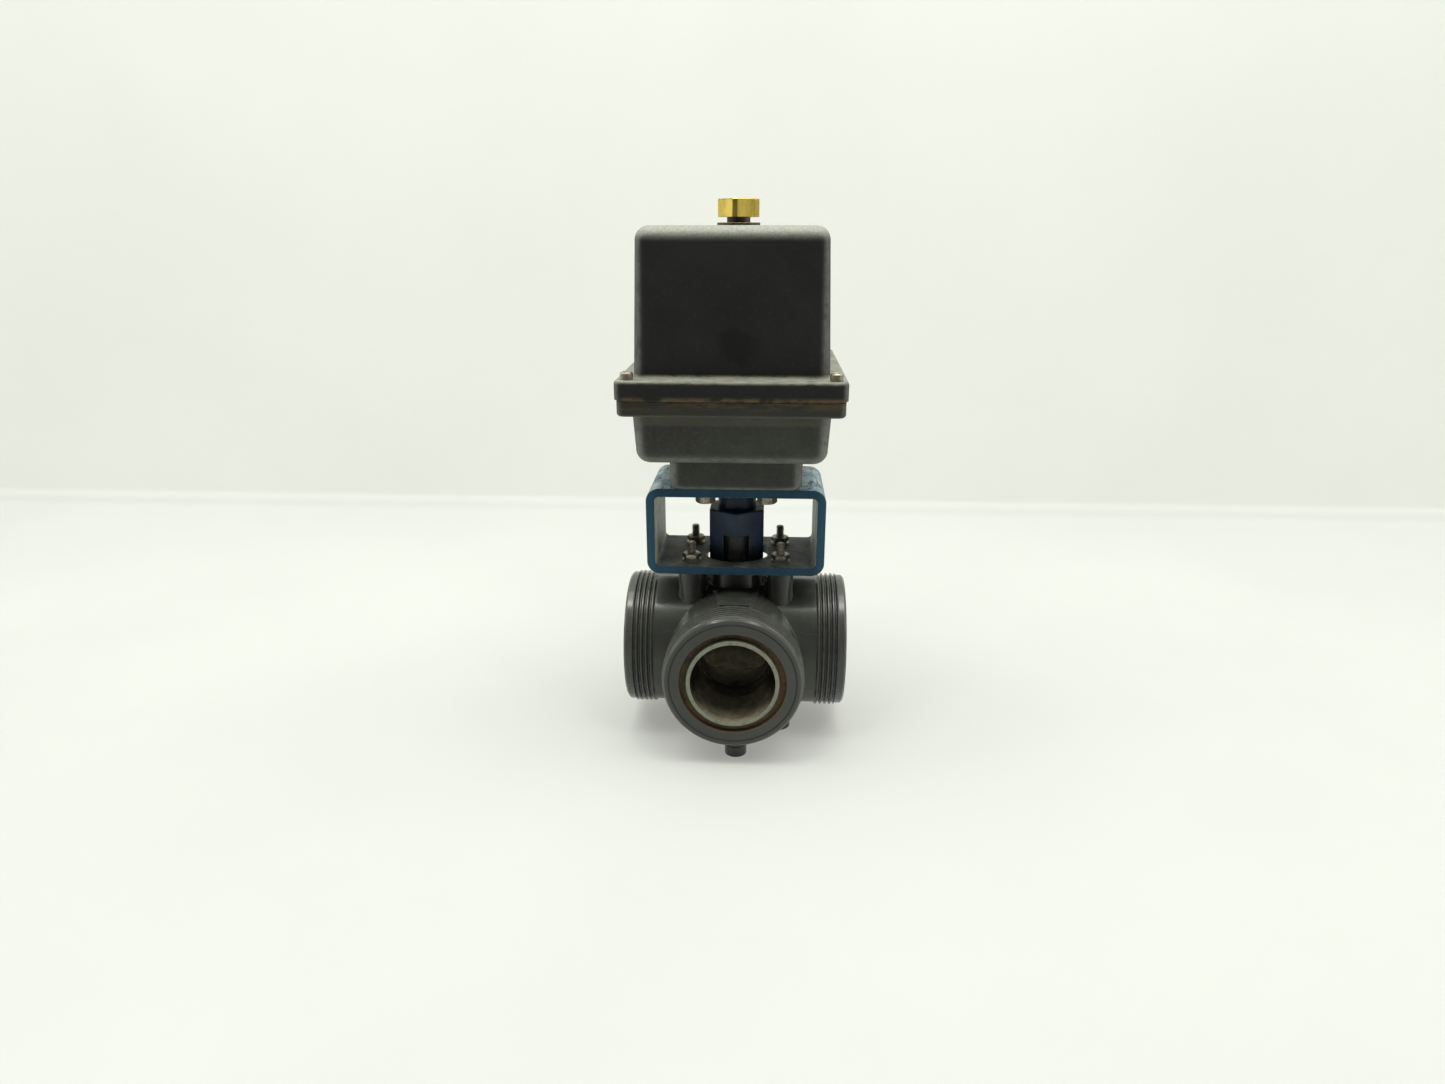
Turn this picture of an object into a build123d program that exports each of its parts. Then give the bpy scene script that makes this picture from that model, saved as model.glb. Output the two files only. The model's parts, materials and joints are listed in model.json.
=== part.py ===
from build123d import *
import os
from math import acos, atan2, cos, hypot, pi, radians, sin, tan

# Motorised three-way ball valve: plastic valve body, steel bracket, coupling and electric actuator.
# Millimetres, +Z up along the valve stem. The origin is the centre of the base bolt pattern,
# on the plane of the feet. The front port points to -Y, the side ports to -X and +X.

# Valve
PORT_Z = 51.5               # port axes above the feet
PORT_REACH = 65.0           # stem axis to each port face
BARREL_R = 39.2             # outside of the port barrels behind the thread
THREAD_R = 40.3             # thread crests
THREAD_PITCH = 2.85
THREAD_DEPTH = 1.5
THREAD_GROOVES = 4
LEAD_RING_R = 39.4          # plain ring ahead of the thread
LEAD_RING = 5.0
CHAMBER_R = 42.5            # outside of the ball chamber
CAVITY_R = 36.0             # inside of the ball chamber and of the port counterbores
CARRIER_R = 35.9
CARRIER_NOSE_R = 27.5
CARRIER_START = 28.0        # stem axis to the nose of a carrier
CARRIER_SHOULDER = 38.0
PORT_BORE_R = 23.9
PORT_BORE_DEPTH = 18.0      # straight part of the port bore behind the face
FACE_GROOVE_IN = 26.2
FACE_GROOVE_OUT = 30.3
FACE_GROOVE_DEPTH = 3.0
BALL_R = 35.0
BALL_BORE_R = 20.0
BALL_FLAT = 31.0            # height of the ball's top flat above the port axes
SEAT_IN_R = 20.5
SEAT_OUT_R = 24.2
SEAT_START = 24.9
SEAT_END = 31.0
FIT = 0.05                  # radial clearance of a running fit

# Stem, neck and gland
STEM_R = 11.0
STEM_FLAT = 7.3             # half width across the stem's two drive flats
STEM_HEAD_R = 14.0
STEM_HEAD = 3.5
TANG_HALF = 4.0
TANG_LENGTH = 28.0
TANG_DEPTH = 7.0
NECK_R = 18.0
NECK_TOP = 99.0
GLAND_R = 15.5
GLAND_TOP = 104.5

# Bosses, feet and bracket
BOSS_X = 26.0
BOSS_Y = 16.5
BOSS_R = 7.8
FRONT_FOOT_AT = (1.4, -50.0)
FRONT_FOOT_R = 6.35
FOOT_LIP = 6.0              # height of the front foot's wider lower end
BASE_HOLE_R = 2.1
BASE_HOLE_DEPTH = 14.0
BRACKET_Z = 103.0
BRACKET_WIDTH = 101.6
BRACKET_HEIGHT = 50.8
BRACKET_DEPTH = 57.0
BRACKET_WALL = 4.76
BRACKET_CORNER = 7.5
BRACKET_TOP = BRACKET_Z + BRACKET_HEIGHT
STEM_HOLE_R = 20.0
DRIVE_HOLE_R = 16.5
STUD_R = 2.4
STUD_LOW = 88.0
STUD_TOP = BRACKET_Z + 16.0
STUD_NUT_FLATS = 9.5
STUD_NUT = 3.0
STUD_WASHER_R = 5.4
STUD_WASHER = 0.7
STUD_LOCK_WASHER_R = 4.6
STUD_LOCK_WASHER = 0.8
BOLT_SQUARE = 50.0 / 2 ** 0.5   # side of the square of a 50 mm bolt circle
BOLT_R = 3.0
BOLT_LENGTH = 12.0              # into the actuator's foot
BOLT_FLATS = 10.0
BOLT_HEAD = 4.0
BOLT_WASHER_R = 5.0
BOLT_WASHER = 1.6

# Coupling
HEX_FLATS = 31.75
COUPLING_Z = 106.0
HEX_TOP = 136.5
COLLAR_R = 11.2
SLOT_HALF = 7.4
SLOT_TOP = 122.1
SOCKET_Z = 158.0            # lower face of the output shaft
SQUARE = 14.0
SQUARE_LENGTH = 12.0

# Actuator housing
HOUSING_X = -2.0
FRONT_Y = -55.0
REAR_Y = 90.0
HOUSING_Y = (FRONT_Y + REAR_Y) / 2
FLANGE_WIDTH = 121.5
FLANGE_LENGTH = REAR_Y - FRONT_Y
FLANGE_CORNER = 4.5
WALL_INSET = 9.0            # cover: flange edge to wall, at the foot of the wall
BASE_INSET = 7.5            # base: flange edge to wall, under the flange
WALL_CORNER = 8.0
WALL_FOOT = 2.2             # fillet between a wall and its flange
WALL = 3.5
INNER_CORNER = 5.0
FOOT_Z = BRACKET_TOP
PEDESTAL_X = 74.4
PEDESTAL_Y = 63.6
PEDESTAL_CORNER = 8.0
PEDESTAL_EDGE = 3.5
BASE_DRAFT = 4.0            # degrees, drawn in downwards
BASE_EDGE = 7.0
BOLT_POCKET = 15.0
BODY_Z = FOOT_Z + 18.0
FLOOR_Z = BODY_Z + 4.2
BASE_FLANGE_Z = 199.1
GASKET_Z = 207.0
COVER_Z = 208.0
COVER_FLANGE_TOP = 217.9
COVER_TOP = 293.8
COVER_DRAFT = 1.95          # degrees
COVER_SCREW_X = 54.4
COVER_SCREW_Y = 65.5
COVER_EDGE = 7.0
COVER_ROOF = 5.0
COVER_BUSH_R = 9.0
SCREW_R = 2.0
SCREW_HEAD_R = 3.5
SCREW_HEAD = 4.0
SCREW_SOCKET = 3.0
CONDUIT_X = 25.0
CONDUIT_Z = 186.5
CONDUIT_R = 10.25
CONDUIT_BOSS_R = 13.0
CONDUIT_BOSS = 2.5          # how far the boss stands out of the wall
CONDUIT_DEPTH = 9.0

# Gear train and inside of the housing
PRESSURE_ANGLE = 25.0       # degrees
BACKLASH = 0.14
OUTPUT_MODULE, OUTPUT_TEETH = 1.5, 48
PINION_TEETH = 12
MIDDLE_MODULE, MIDDLE_TEETH = 1.0, 40
FIRST_MODULE, FIRST_TEETH = 0.8, 48
MOTOR_AT = (10.0, 48.0)
FIRST_AT = (-9.2, 33.6)
PLATE_Z = 203.0
PLATE = 3.0
PLATE_TOP = PLATE_Z + PLATE
PLATE_SIZE = (90.0, 116.0)
POST_X = 40.0
POST_Y = 52.0
POST_R = 5.0
POST_SCREW_R = 1.5
POST_HOLE = 14.0
PIN_R = 2.0
PIN_SEAT = 2.0              # how far a gear pin is let into the floor
MOTOR_R = 24.5
MOTOR_HEIGHT = 54.0
MOTOR_SHAFT_R = 2.0
ROTOR_R = 18.5
ROTOR_LOW = PLATE_TOP + 10.0
ROTOR_HIGH = PLATE_TOP + 40.0
SHAFT_LOWER_R = 16.0
SHAFT_BUSH_R = 19.0
SHAFT_R = 10.0
SHAFT_TOP_R = 6.3
SHAFT_WASHER_R = 11.65
SHAFT_WASHER = 1.5
GEAR_Z = 179.0
GEAR_WIDTH = 9.0
THIN_GEAR = 4.0
CAM_Z = 213.0
CAM = 5.8
CAM_R = 14.5
LOBE_R = 17.2
SWITCH_X = -20.5            # face of the limit switches towards the cams
SWITCH_DEPTH = 10.0
SWITCH_HALF = 10.0
BUTTON_R = 1.2
BUTTON_LENGTH = 8.0
BUTTON_GAP = 0.4            # button to the cam lobe's path
CAPACITOR_AT = (-34.0, 49.0)
CAPACITOR_R = 13.0
CAPACITOR_HEIGHT = 48.0
CLIP = 2.0
CLIP_HALF = 6.0
TERMINALS = 6
TERMINAL_X = (27.0, 42.0)
TERMINAL_Y = (-30.0, 20.0)
TERMINAL_HEIGHT = 12.0
BLOCK_Z = 298.1
BLOCK_TOP = 307.4
BLOCK_SIDE = 17.5
BLOCK_CORNER = 1.8
BLOCK_TURN = 36.0           # degrees
BLOCK_ROOF = 3.4            # brass left above the shaft's end
OVERRIDE_PIN_Z = 302.0
OVERRIDE_PIN_R = 1.5
PLUG_LENGTH = 8.0
PLUG_FLATS = 17.0
PLUG_HEAD = 5.0
KEY_HALF = 2.0

PORT_TURNS = {
    "left": Rot(0, -90, 0),
    "right": Rot(0, 90, 0),
    "front": Rot(90, 0, 0),
    "rear": Rot(-90, 0, 0),
}
OPEN_PORTS = ("left", "right", "front")
PARTS = {}


def disc(radius, low, high, at=(0, 0)):
    """Upright cylinder between two heights."""
    return Pos(at[0], at[1], (low + high) / 2) * Cylinder(radius, high - low)


def ring(outer, inner, low, high, at=(0, 0)):
    return disc(outer, low, high, at) - disc(inner, low - 1, high + 1, at)


def block(x_span, y_span, z_span):
    """Box between pairs of lowest and highest coordinates."""
    size = [high - low for low, high in (x_span, y_span, z_span)]
    middle = [(low + high) / 2 for low, high in (x_span, y_span, z_span)]
    return Pos(*middle) * Box(*size)


def hexagon(flats, low, high, at=(0, 0), corner_front=False):
    """Hexagonal bar; corner_front turns one of its edges to -Y."""
    outline = RegularPolygon(flats / 2, 6, major_radius=False, rotation=30 if corner_front else 0)
    return Pos(at[0], at[1], low) * extrude(outline, high - low)


def rounded_slab(width, length, corner, low, high, taper=0.0, middle=(HOUSING_X, HOUSING_Y)):
    """Block with rounded vertical corners; taper in degrees draws the sides in as they rise."""
    outline = Pos(middle[0], middle[1], low) * RectangleRounded(width, length, corner)
    return extrude(outline, high - low, taper=taper)


def four(shape, spread_x, spread_y, middle=(0, 0)):
    """The shape repeated at the four corners of a rectangle."""
    places = [(sx * spread_x + middle[0], sy * spread_y + middle[1]) for sx in (-1, 1) for sy in (-1, 1)]
    return [Pos(x, y, 0) * shape for x, y in places]


def at_port(shape, port):
    """Turn a shape made along +Z from the stem axis so that it lies along a port."""
    return Pos(0, 0, PORT_Z) * PORT_TURNS[port] * shape


def keep(node, *shapes):
    """File a node's solids under its name."""
    solids = [solid for shape in shapes for solid in shape.solids()]
    PARTS[node] = solids[0] if len(solids) == 1 else Compound(children=solids)


# ---------------------------------------------------------------- valve

def port_barrel():
    """One barrel along +Z: plain tube, five thread grooves and a plain leading ring."""
    thread_end = PORT_REACH - LEAD_RING
    thread_start = thread_end - THREAD_GROOVES * THREAD_PITCH
    points = [(0, 0), (BARREL_R, 0), (BARREL_R, thread_start - 1.0), (THREAD_R, thread_start)]
    for index in range(THREAD_GROOVES):
        crest = thread_start + index * THREAD_PITCH
        points += [
            (THREAD_R, crest + 0.25 * THREAD_PITCH),
            (THREAD_R - THREAD_DEPTH, crest + 0.55 * THREAD_PITCH),
            (THREAD_R - THREAD_DEPTH, crest + 0.70 * THREAD_PITCH),
            (THREAD_R, crest + THREAD_PITCH),
        ]
    points += [
        (LEAD_RING_R, thread_end + 0.6),
        (LEAD_RING_R, PORT_REACH - 1.2),
        (LEAD_RING_R - 1.2, PORT_REACH),
        (0, PORT_REACH),
    ]
    outline = make_face(Plane.XZ * Polyline(*points, close=True))
    return revolve(outline, Axis.Z)


def valve_body():
    shell = Pos(0, 0, PORT_Z) * Sphere(CHAMBER_R)
    barrel = port_barrel()
    for port in OPEN_PORTS:
        shell += at_port(barrel, port)
    shell += disc(NECK_R, PORT_Z + 30, NECK_TOP)
    for boss in four(disc(BOSS_R, PORT_Z + 26, BRACKET_Z), BOSS_X, BOSS_Y):
        shell += boss
    for foot in four(disc(BOSS_R, 0, PORT_Z - 26), BOSS_X, BOSS_Y):
        shell += foot
    shell += disc(FRONT_FOOT_R, 0, FOOT_LIP, FRONT_FOOT_AT)
    shell += disc(FRONT_FOOT_R - 0.5, FOOT_LIP, PORT_Z - 37.5, FRONT_FOOT_AT)
    pad = block((-9.5, 9.5), (-45.5, -34.0), (PORT_Z + 30, PORT_Z + 40.0))
    shell += fillet(pad.edges().filter_by(Axis.Z), 2.0)

    cavity = Pos(0, 0, PORT_Z) * Sphere(CAVITY_R)
    for port in OPEN_PORTS:
        cavity += at_port(disc(CAVITY_R, CARRIER_SHOULDER, PORT_REACH + 1), port)
        cavity += at_port(disc(CARRIER_NOSE_R + 0.1, 0, PORT_REACH), port)
    cavity += at_port(disc(CAVITY_R, 0, PORT_REACH), "front")
    cavity += at_port(disc(SEAT_OUT_R + 0.02, 0, SEAT_END), "rear")
    cavity += disc(STEM_R + FIT, PORT_Z, NECK_TOP + 1)
    cavity += disc(STEM_HEAD_R + 0.3, PORT_Z + 26, PORT_Z + BALL_FLAT + STEM_HEAD + 0.3)
    for hole in four(disc(STUD_R + FIT, STUD_LOW, BRACKET_Z + 1), BOSS_X, BOSS_Y):
        cavity += hole
    for hole in four(disc(BASE_HOLE_R, -1, BASE_HOLE_DEPTH), BOSS_X, BOSS_Y):
        cavity += hole
    keep("valve_body", shell - cavity)


def carriers_and_seats():
    """Screwed-in end carriers, each holding a seat ring, and the seat behind the ball."""
    ball_space = Sphere(BALL_R + FIT)
    nose = disc(CARRIER_NOSE_R, CARRIER_START, CARRIER_SHOULDER)
    carrier = nose + disc(CARRIER_R, CARRIER_SHOULDER, PORT_REACH)
    carrier -= disc(SEAT_OUT_R + 0.02, CARRIER_START - 1, SEAT_END)
    carrier -= disc(SEAT_IN_R, SEAT_END - 1, PORT_REACH)
    carrier -= disc(PORT_BORE_R, PORT_REACH - PORT_BORE_DEPTH, PORT_REACH + 1)
    step = PORT_REACH - PORT_BORE_DEPTH
    carrier -= Pos(0, 0, step - 3) * Cone(SEAT_IN_R, PORT_BORE_R, 6)
    face_groove = ring(FACE_GROOVE_OUT, FACE_GROOVE_IN, PORT_REACH - FACE_GROOVE_DEPTH, PORT_REACH + 1)
    carrier -= face_groove
    carrier -= ring(CARRIER_R + 1, CARRIER_R - 2.4, 44.0, 47.4)
    seat = ring(SEAT_OUT_R, SEAT_IN_R, SEAT_START, SEAT_END) - ball_space
    for port in OPEN_PORTS:
        keep(f"end_carrier_{port}", at_port(carrier, port))
        keep(f"ball_seat_{port}", at_port(seat, port))
    keep("ball_seat_rear", at_port(seat, "rear"))
    seal = ring(CARRIER_R, CARRIER_R - 2.4, 44.4, 47.0)
    keep("carrier_o_rings", *[at_port(seal, port) for port in OPEN_PORTS])


def ball():
    """Ball with a straight bore between the side ports and a branch to the front."""
    body = Pos(0, 0, PORT_Z) * Sphere(BALL_R)
    body -= at_port(disc(BALL_BORE_R, -BALL_R - 1, BALL_R + 1), "right")
    body -= at_port(disc(BALL_BORE_R, 0, BALL_R + 1), "front")
    top = PORT_Z + BALL_FLAT
    body -= block((-40, 40), (-40, 40), (top, top + 10))
    slot_half = TANG_HALF + FIT
    body -= block((-slot_half, slot_half), (-40, 40), (top - TANG_DEPTH, top + 1))
    keep("ball", body)


def stem():
    top = PORT_Z + BALL_FLAT
    post = disc(STEM_HEAD_R, top, top + STEM_HEAD)
    post += disc(STEM_R, top, COUPLING_Z - 0.5)
    drive = disc(STEM_R, COUPLING_Z - 0.5, SLOT_TOP)
    post += drive & block((-STEM_FLAT, STEM_FLAT), (-20, 20), (COUPLING_Z - 1, SLOT_TOP))
    tang_y = TANG_LENGTH / 2
    post += block((-TANG_HALF, TANG_HALF), (-tang_y, tang_y), (top - TANG_DEPTH + 0.2, top + 0.5))
    groove_heights = (90.0, 94.5)
    for low in groove_heights:
        post -= ring(STEM_R + 1, STEM_R - 1.8, low, low + 2.4)
    keep("valve_stem", post)
    keep("stem_o_rings", *[ring(STEM_R, STEM_R - 1.8, low, low + 2.4) for low in groove_heights])
    keep("gland_ring", ring(GLAND_R, STEM_R + FIT, NECK_TOP, GLAND_TOP))


# ---------------------------------------------------------------- bracket and coupling

def bracket():
    """Slice of rectangular tube with clearance holes in its upper and lower plates."""
    middle_z = BRACKET_Z + BRACKET_HEIGHT / 2
    inner_width = BRACKET_WIDTH - 2 * BRACKET_WALL
    inner_height = BRACKET_HEIGHT - 2 * BRACKET_WALL
    outline = RectangleRounded(BRACKET_WIDTH, BRACKET_HEIGHT, BRACKET_CORNER)
    outline -= RectangleRounded(inner_width, inner_height, BRACKET_CORNER - BRACKET_WALL)
    tube = Pos(0, 0, middle_z) * Rot(90, 0, 0) * extrude(outline, BRACKET_DEPTH / 2, both=True)
    tube -= disc(STEM_HOLE_R, BRACKET_Z - 1, middle_z)
    tube -= disc(DRIVE_HOLE_R, middle_z, BRACKET_TOP + 1)
    for hole in four(disc(STUD_R + 0.35, BRACKET_Z - 1, middle_z), BOSS_X, BOSS_Y):
        tube -= hole
    half_square = BOLT_SQUARE / 2
    for hole in four(disc(BOLT_R + 0.3, middle_z, BRACKET_TOP + 1), half_square, half_square):
        tube -= hole
    keep("mounting_bracket", tube)


def bracket_fasteners():
    """Studs with washers and nuts on the lower plate, and bolts up through the upper plate."""
    seat_z = BRACKET_Z + BRACKET_WALL
    lock_z = seat_z + STUD_WASHER
    nut_z = lock_z + STUD_LOCK_WASHER
    stud_hole_r = STUD_R + 0.2
    stud = disc(STUD_R, STUD_LOW, STUD_TOP)
    stud = chamfer(stud.edges().group_by(Axis.Z)[-1], 0.5)
    keep("lower_studs", *four(stud, BOSS_X, BOSS_Y))
    flat_washer = ring(STUD_WASHER_R, stud_hole_r, seat_z, lock_z)
    keep("lower_flat_washers", *four(flat_washer, BOSS_X, BOSS_Y))
    lock_washer = ring(STUD_LOCK_WASHER_R, stud_hole_r, lock_z, nut_z)
    keep("lower_lock_washers", *four(lock_washer, BOSS_X, BOSS_Y))
    nut = hexagon(STUD_NUT_FLATS, nut_z, nut_z + STUD_NUT) - disc(STUD_R + FIT, nut_z - 1, STUD_TOP)
    nut = nut & disc(0.56 * STUD_NUT_FLATS, nut_z, nut_z + STUD_NUT)
    keep("lower_nuts", *four(nut, BOSS_X, BOSS_Y))

    half_square = BOLT_SQUARE / 2
    plate_z = BRACKET_TOP - BRACKET_WALL
    head_top = plate_z - BOLT_WASHER
    head_low = head_top - BOLT_HEAD
    lock_washer = ring(BOLT_WASHER_R, BOLT_R + 0.1, head_top, plate_z)
    keep("upper_lock_washers", *four(lock_washer, half_square, half_square))
    bolt = hexagon(BOLT_FLATS, head_low, head_top) & disc(0.56 * BOLT_FLATS, head_low, head_top)
    bolt += disc(BOLT_R, head_top, FOOT_Z + BOLT_LENGTH)
    keep("upper_bolts", *four(bolt, half_square, half_square))


def coupling():
    """Hexagonal bar, slotted below for the stem and turned and squared above for the actuator."""
    bar = hexagon(HEX_FLATS, COUPLING_Z, HEX_TOP, corner_front=True)
    bar = fillet(bar.edges().filter_by(Axis.Z), 1.2)
    bar = chamfer(bar.edges().group_by(Axis.Z)[-1], 0.6)
    bar += disc(COLLAR_R, HEX_TOP, SOCKET_Z)
    half = SQUARE / 2
    bar += block((-half, half), (-half, half), (SOCKET_Z, SOCKET_Z + SQUARE_LENGTH))
    bar -= block((-SLOT_HALF, SLOT_HALF), (-30, 30), (COUPLING_Z - 1, SLOT_TOP))
    keep("drive_coupling", bar)


# ---------------------------------------------------------------- actuator housing

def inner_space(low, high):
    """Room inside the housing walls, at the foot of the wall."""
    inset = 2 * (WALL_INSET + WALL)
    return rounded_slab(FLANGE_WIDTH - inset, FLANGE_LENGTH - inset, INNER_CORNER, low, high)


def cover_screw_places(shape):
    return four(shape, COVER_SCREW_X, COVER_SCREW_Y, (HOUSING_X, HOUSING_Y))


def plate_post_places(shape):
    return four(shape, POST_X, POST_Y, (HOUSING_X, HOUSING_Y))


def base_housing():
    """Tray with a drawn-in wall, a flange above and a solid foot below for the bracket bolts."""
    body_width = FLANGE_WIDTH - 2 * BASE_INSET
    body_length = FLANGE_LENGTH - 2 * BASE_INSET
    draw_in = (BASE_FLANGE_Z - BODY_Z) * tan(radians(BASE_DRAFT))
    body = rounded_slab(body_width - 2 * draw_in, body_length - 2 * draw_in, WALL_CORNER,
                        BODY_Z, BASE_FLANGE_Z, -BASE_DRAFT)
    body = fillet(body.edges().group_by(Axis.Z)[0], BASE_EDGE)
    foot = rounded_slab(PEDESTAL_X, PEDESTAL_Y, PEDESTAL_CORNER, FOOT_Z, BODY_Z + 6, middle=(0, 0))
    foot = fillet(foot.edges().group_by(Axis.Z)[0], PEDESTAL_EDGE)
    flange = rounded_slab(FLANGE_WIDTH - 1.8, FLANGE_LENGTH - 1.8, FLANGE_CORNER, BASE_FLANGE_Z, GASKET_Z)
    flange = fillet(flange.edges().group_by(Axis.Z)[0], 1.8)
    casting = body + foot + flange
    casting -= inner_space(FLOOR_Z, GASKET_Z + 1)
    wall_y = HOUSING_Y + body_length / 2
    for side in (-1, 1):
        at = Pos(HOUSING_X + side * CONDUIT_X, wall_y, CONDUIT_Z) * Rot(-90, 0, 0)
        boss_low = CONDUIT_BOSS - CONDUIT_DEPTH
        casting += at * disc(CONDUIT_BOSS_R, boss_low, CONDUIT_BOSS)
        casting -= at * disc(CONDUIT_R, boss_low - 10, CONDUIT_BOSS + 10)
    for post in plate_post_places(disc(POST_R, FLOOR_Z - 1, PLATE_Z)):
        casting += post
    for hole in plate_post_places(disc(POST_SCREW_R + FIT, PLATE_Z - POST_HOLE, PLATE_Z + 1)):
        casting -= hole
    casting -= disc(SHAFT_BUSH_R, SOCKET_Z, FLOOR_Z + 1)
    casting -= disc(SHAFT_LOWER_R + 1, FOOT_Z - 1, SOCKET_Z + 1)
    casting -= disc(PIN_R, FLOOR_Z - PIN_SEAT, FLOOR_Z + 1, middle_place())
    for hole in cover_screw_places(disc(SCREW_R + FIT, BASE_FLANGE_Z - 1, GASKET_Z + 1)):
        casting -= hole
    half_square = BOLT_SQUARE / 2
    for hole in four(disc(BOLT_R + FIT, FOOT_Z - 1, FOOT_Z + BOLT_POCKET), half_square, half_square):
        casting -= hole
    keep("base_housing", casting)


def gasket():
    sheet = rounded_slab(FLANGE_WIDTH - 2.4, FLANGE_LENGTH - 2.4, FLANGE_CORNER, GASKET_Z, COVER_Z)
    sheet -= inner_space(GASKET_Z - 1, COVER_Z + 1)
    for hole in cover_screw_places(disc(SCREW_R + 0.2, GASKET_Z - 1, COVER_Z + 1)):
        sheet -= hole
    keep("cover_gasket", sheet)


def cover():
    """Deep drawn-in cover with a flange below and a bushed hole for the override shaft above."""
    flange = rounded_slab(FLANGE_WIDTH, FLANGE_LENGTH, FLANGE_CORNER, COVER_Z, COVER_FLANGE_TOP)
    flange = fillet(flange.edges().group_by(Axis.Z)[-1], 1.6)
    width = FLANGE_WIDTH - 2 * WALL_INSET
    length = FLANGE_LENGTH - 2 * WALL_INSET
    height = COVER_TOP - COVER_FLANGE_TOP
    outside = rounded_slab(width, length, WALL_CORNER, COVER_FLANGE_TOP, COVER_TOP, COVER_DRAFT)
    outside = fillet(outside.edges().group_by(Axis.Z)[-1], COVER_EDGE)
    shell = flange + outside
    joint = [edge for edge in shell.edges()
             if abs(edge.center().Z - COVER_FLANGE_TOP) < 0.01
             and abs(edge.center().X - HOUSING_X) <= width / 2 + 0.01
             and abs(edge.center().Y - HOUSING_Y) <= length / 2 + 0.01]
    shell = fillet(joint, WALL_FOOT)
    inside = rounded_slab(width - 2 * WALL, length - 2 * WALL, INNER_CORNER, COVER_FLANGE_TOP,
                          COVER_TOP - COVER_ROOF, COVER_DRAFT)
    narrowing = height * tan(radians(COVER_DRAFT))
    inside = fillet(inside.edges().group_by(Axis.Z)[-1], INNER_CORNER - narrowing / 2)
    shell = shell - inside - inner_space(COVER_Z - 1, COVER_FLANGE_TOP + 0.01)
    shell -= disc(COVER_BUSH_R, COVER_TOP - 10, COVER_TOP + 1)
    for hole in cover_screw_places(disc(SCREW_R + 0.2, COVER_Z - 1, COVER_FLANGE_TOP + 1)):
        shell -= hole
    keep("actuator_cover", shell)


def cover_fittings():
    keep("cover_bush", ring(COVER_BUSH_R, SHAFT_TOP_R + FIT, COVER_TOP - 4.0, COVER_TOP))
    washer = ring(SHAFT_WASHER_R, SHAFT_TOP_R + 0.1, COVER_TOP, COVER_TOP + SHAFT_WASHER)
    keep("shaft_washer", chamfer(washer.edges().group_by(Axis.Z)[-1], 0.3))
    head = disc(SCREW_HEAD_R, COVER_FLANGE_TOP, COVER_FLANGE_TOP + SCREW_HEAD)
    head = chamfer(head.edges().group_by(Axis.Z)[-1], 0.5)
    screw = head + disc(SCREW_R, BASE_FLANGE_Z + 1, COVER_FLANGE_TOP)
    screw -= hexagon(SCREW_SOCKET, COVER_FLANGE_TOP + 2, COVER_FLANGE_TOP + SCREW_HEAD + 1)
    keep("cover_screws", *cover_screw_places(screw))
    plug_y = REAR_Y - BASE_INSET + CONDUIT_BOSS
    at = Pos(HOUSING_X - CONDUIT_X, plug_y, CONDUIT_Z) * Rot(-90, 0, 0)
    plug = disc(CONDUIT_R - FIT, -PLUG_LENGTH, 0) + hexagon(PLUG_FLATS, 0, PLUG_HEAD)
    keep("conduit_plug", at * plug)


# ---------------------------------------------------------------- drive shaft and override

def output_shaft():
    """Stepped shaft: square socket below, gear and cam seats, and a thin end up to the override."""
    half = SQUARE / 2 + FIT
    shoulder_z = CAM_Z + 2 * CAM + 4
    shaft = disc(SHAFT_LOWER_R, SOCKET_Z, GEAR_Z)
    shaft += disc(SHAFT_R, GEAR_Z, shoulder_z)
    shaft += disc(SHAFT_R + 2, CAM_Z - 3.5, CAM_Z)
    shaft += disc(SHAFT_TOP_R, shoulder_z, BLOCK_TOP - BLOCK_ROOF)
    shaft -= block((-half, half), (-half, half), (SOCKET_Z - 1, SOCKET_Z + SQUARE_LENGTH + 0.5))
    gear_span = (GEAR_Z, GEAR_Z + GEAR_WIDTH)
    key_seat = -SHAFT_R + KEY_HALF
    shaft -= block((-KEY_HALF, KEY_HALF), (-SHAFT_R - 1, key_seat), gear_span)
    shaft -= Pos(0, 4.6, OVERRIDE_PIN_Z) * Rot(90, 0, 0) * Cylinder(OVERRIDE_PIN_R + FIT, 4.0)
    keep("output_shaft", shaft)
    keep("shaft_bush", ring(SHAFT_BUSH_R, SHAFT_LOWER_R + FIT, SOCKET_Z, FLOOR_Z))
    keep("output_key", block((-KEY_HALF, KEY_HALF), (-SHAFT_R - KEY_HALF, key_seat), gear_span))


def override_block():
    """Square brass block pinned on the shaft's end, for turning the valve by hand."""
    body = extrude(Rectangle(BLOCK_SIDE, BLOCK_SIDE), BLOCK_TOP - BLOCK_Z)
    body = chamfer(body.edges().filter_by(Axis.Z), BLOCK_CORNER)
    body = chamfer(body.edges().group_by(Axis.Z)[-1], 0.4)
    body = Pos(0, 0, BLOCK_Z) * Rot(0, 0, BLOCK_TURN) * body
    body -= disc(SHAFT_TOP_R + 0.02, BLOCK_Z - 1, BLOCK_TOP - BLOCK_ROOF)
    pin = Pos(0, 6.0, OVERRIDE_PIN_Z) * Rot(90, 0, 0) * Cylinder(OVERRIDE_PIN_R, 6.8)
    body -= Pos(0, 8.0, OVERRIDE_PIN_Z) * Rot(90, 0, 0) * Cylinder(OVERRIDE_PIN_R + FIT, 10.8)
    keep("override_block", body)
    keep("override_pin", pin)


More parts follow.
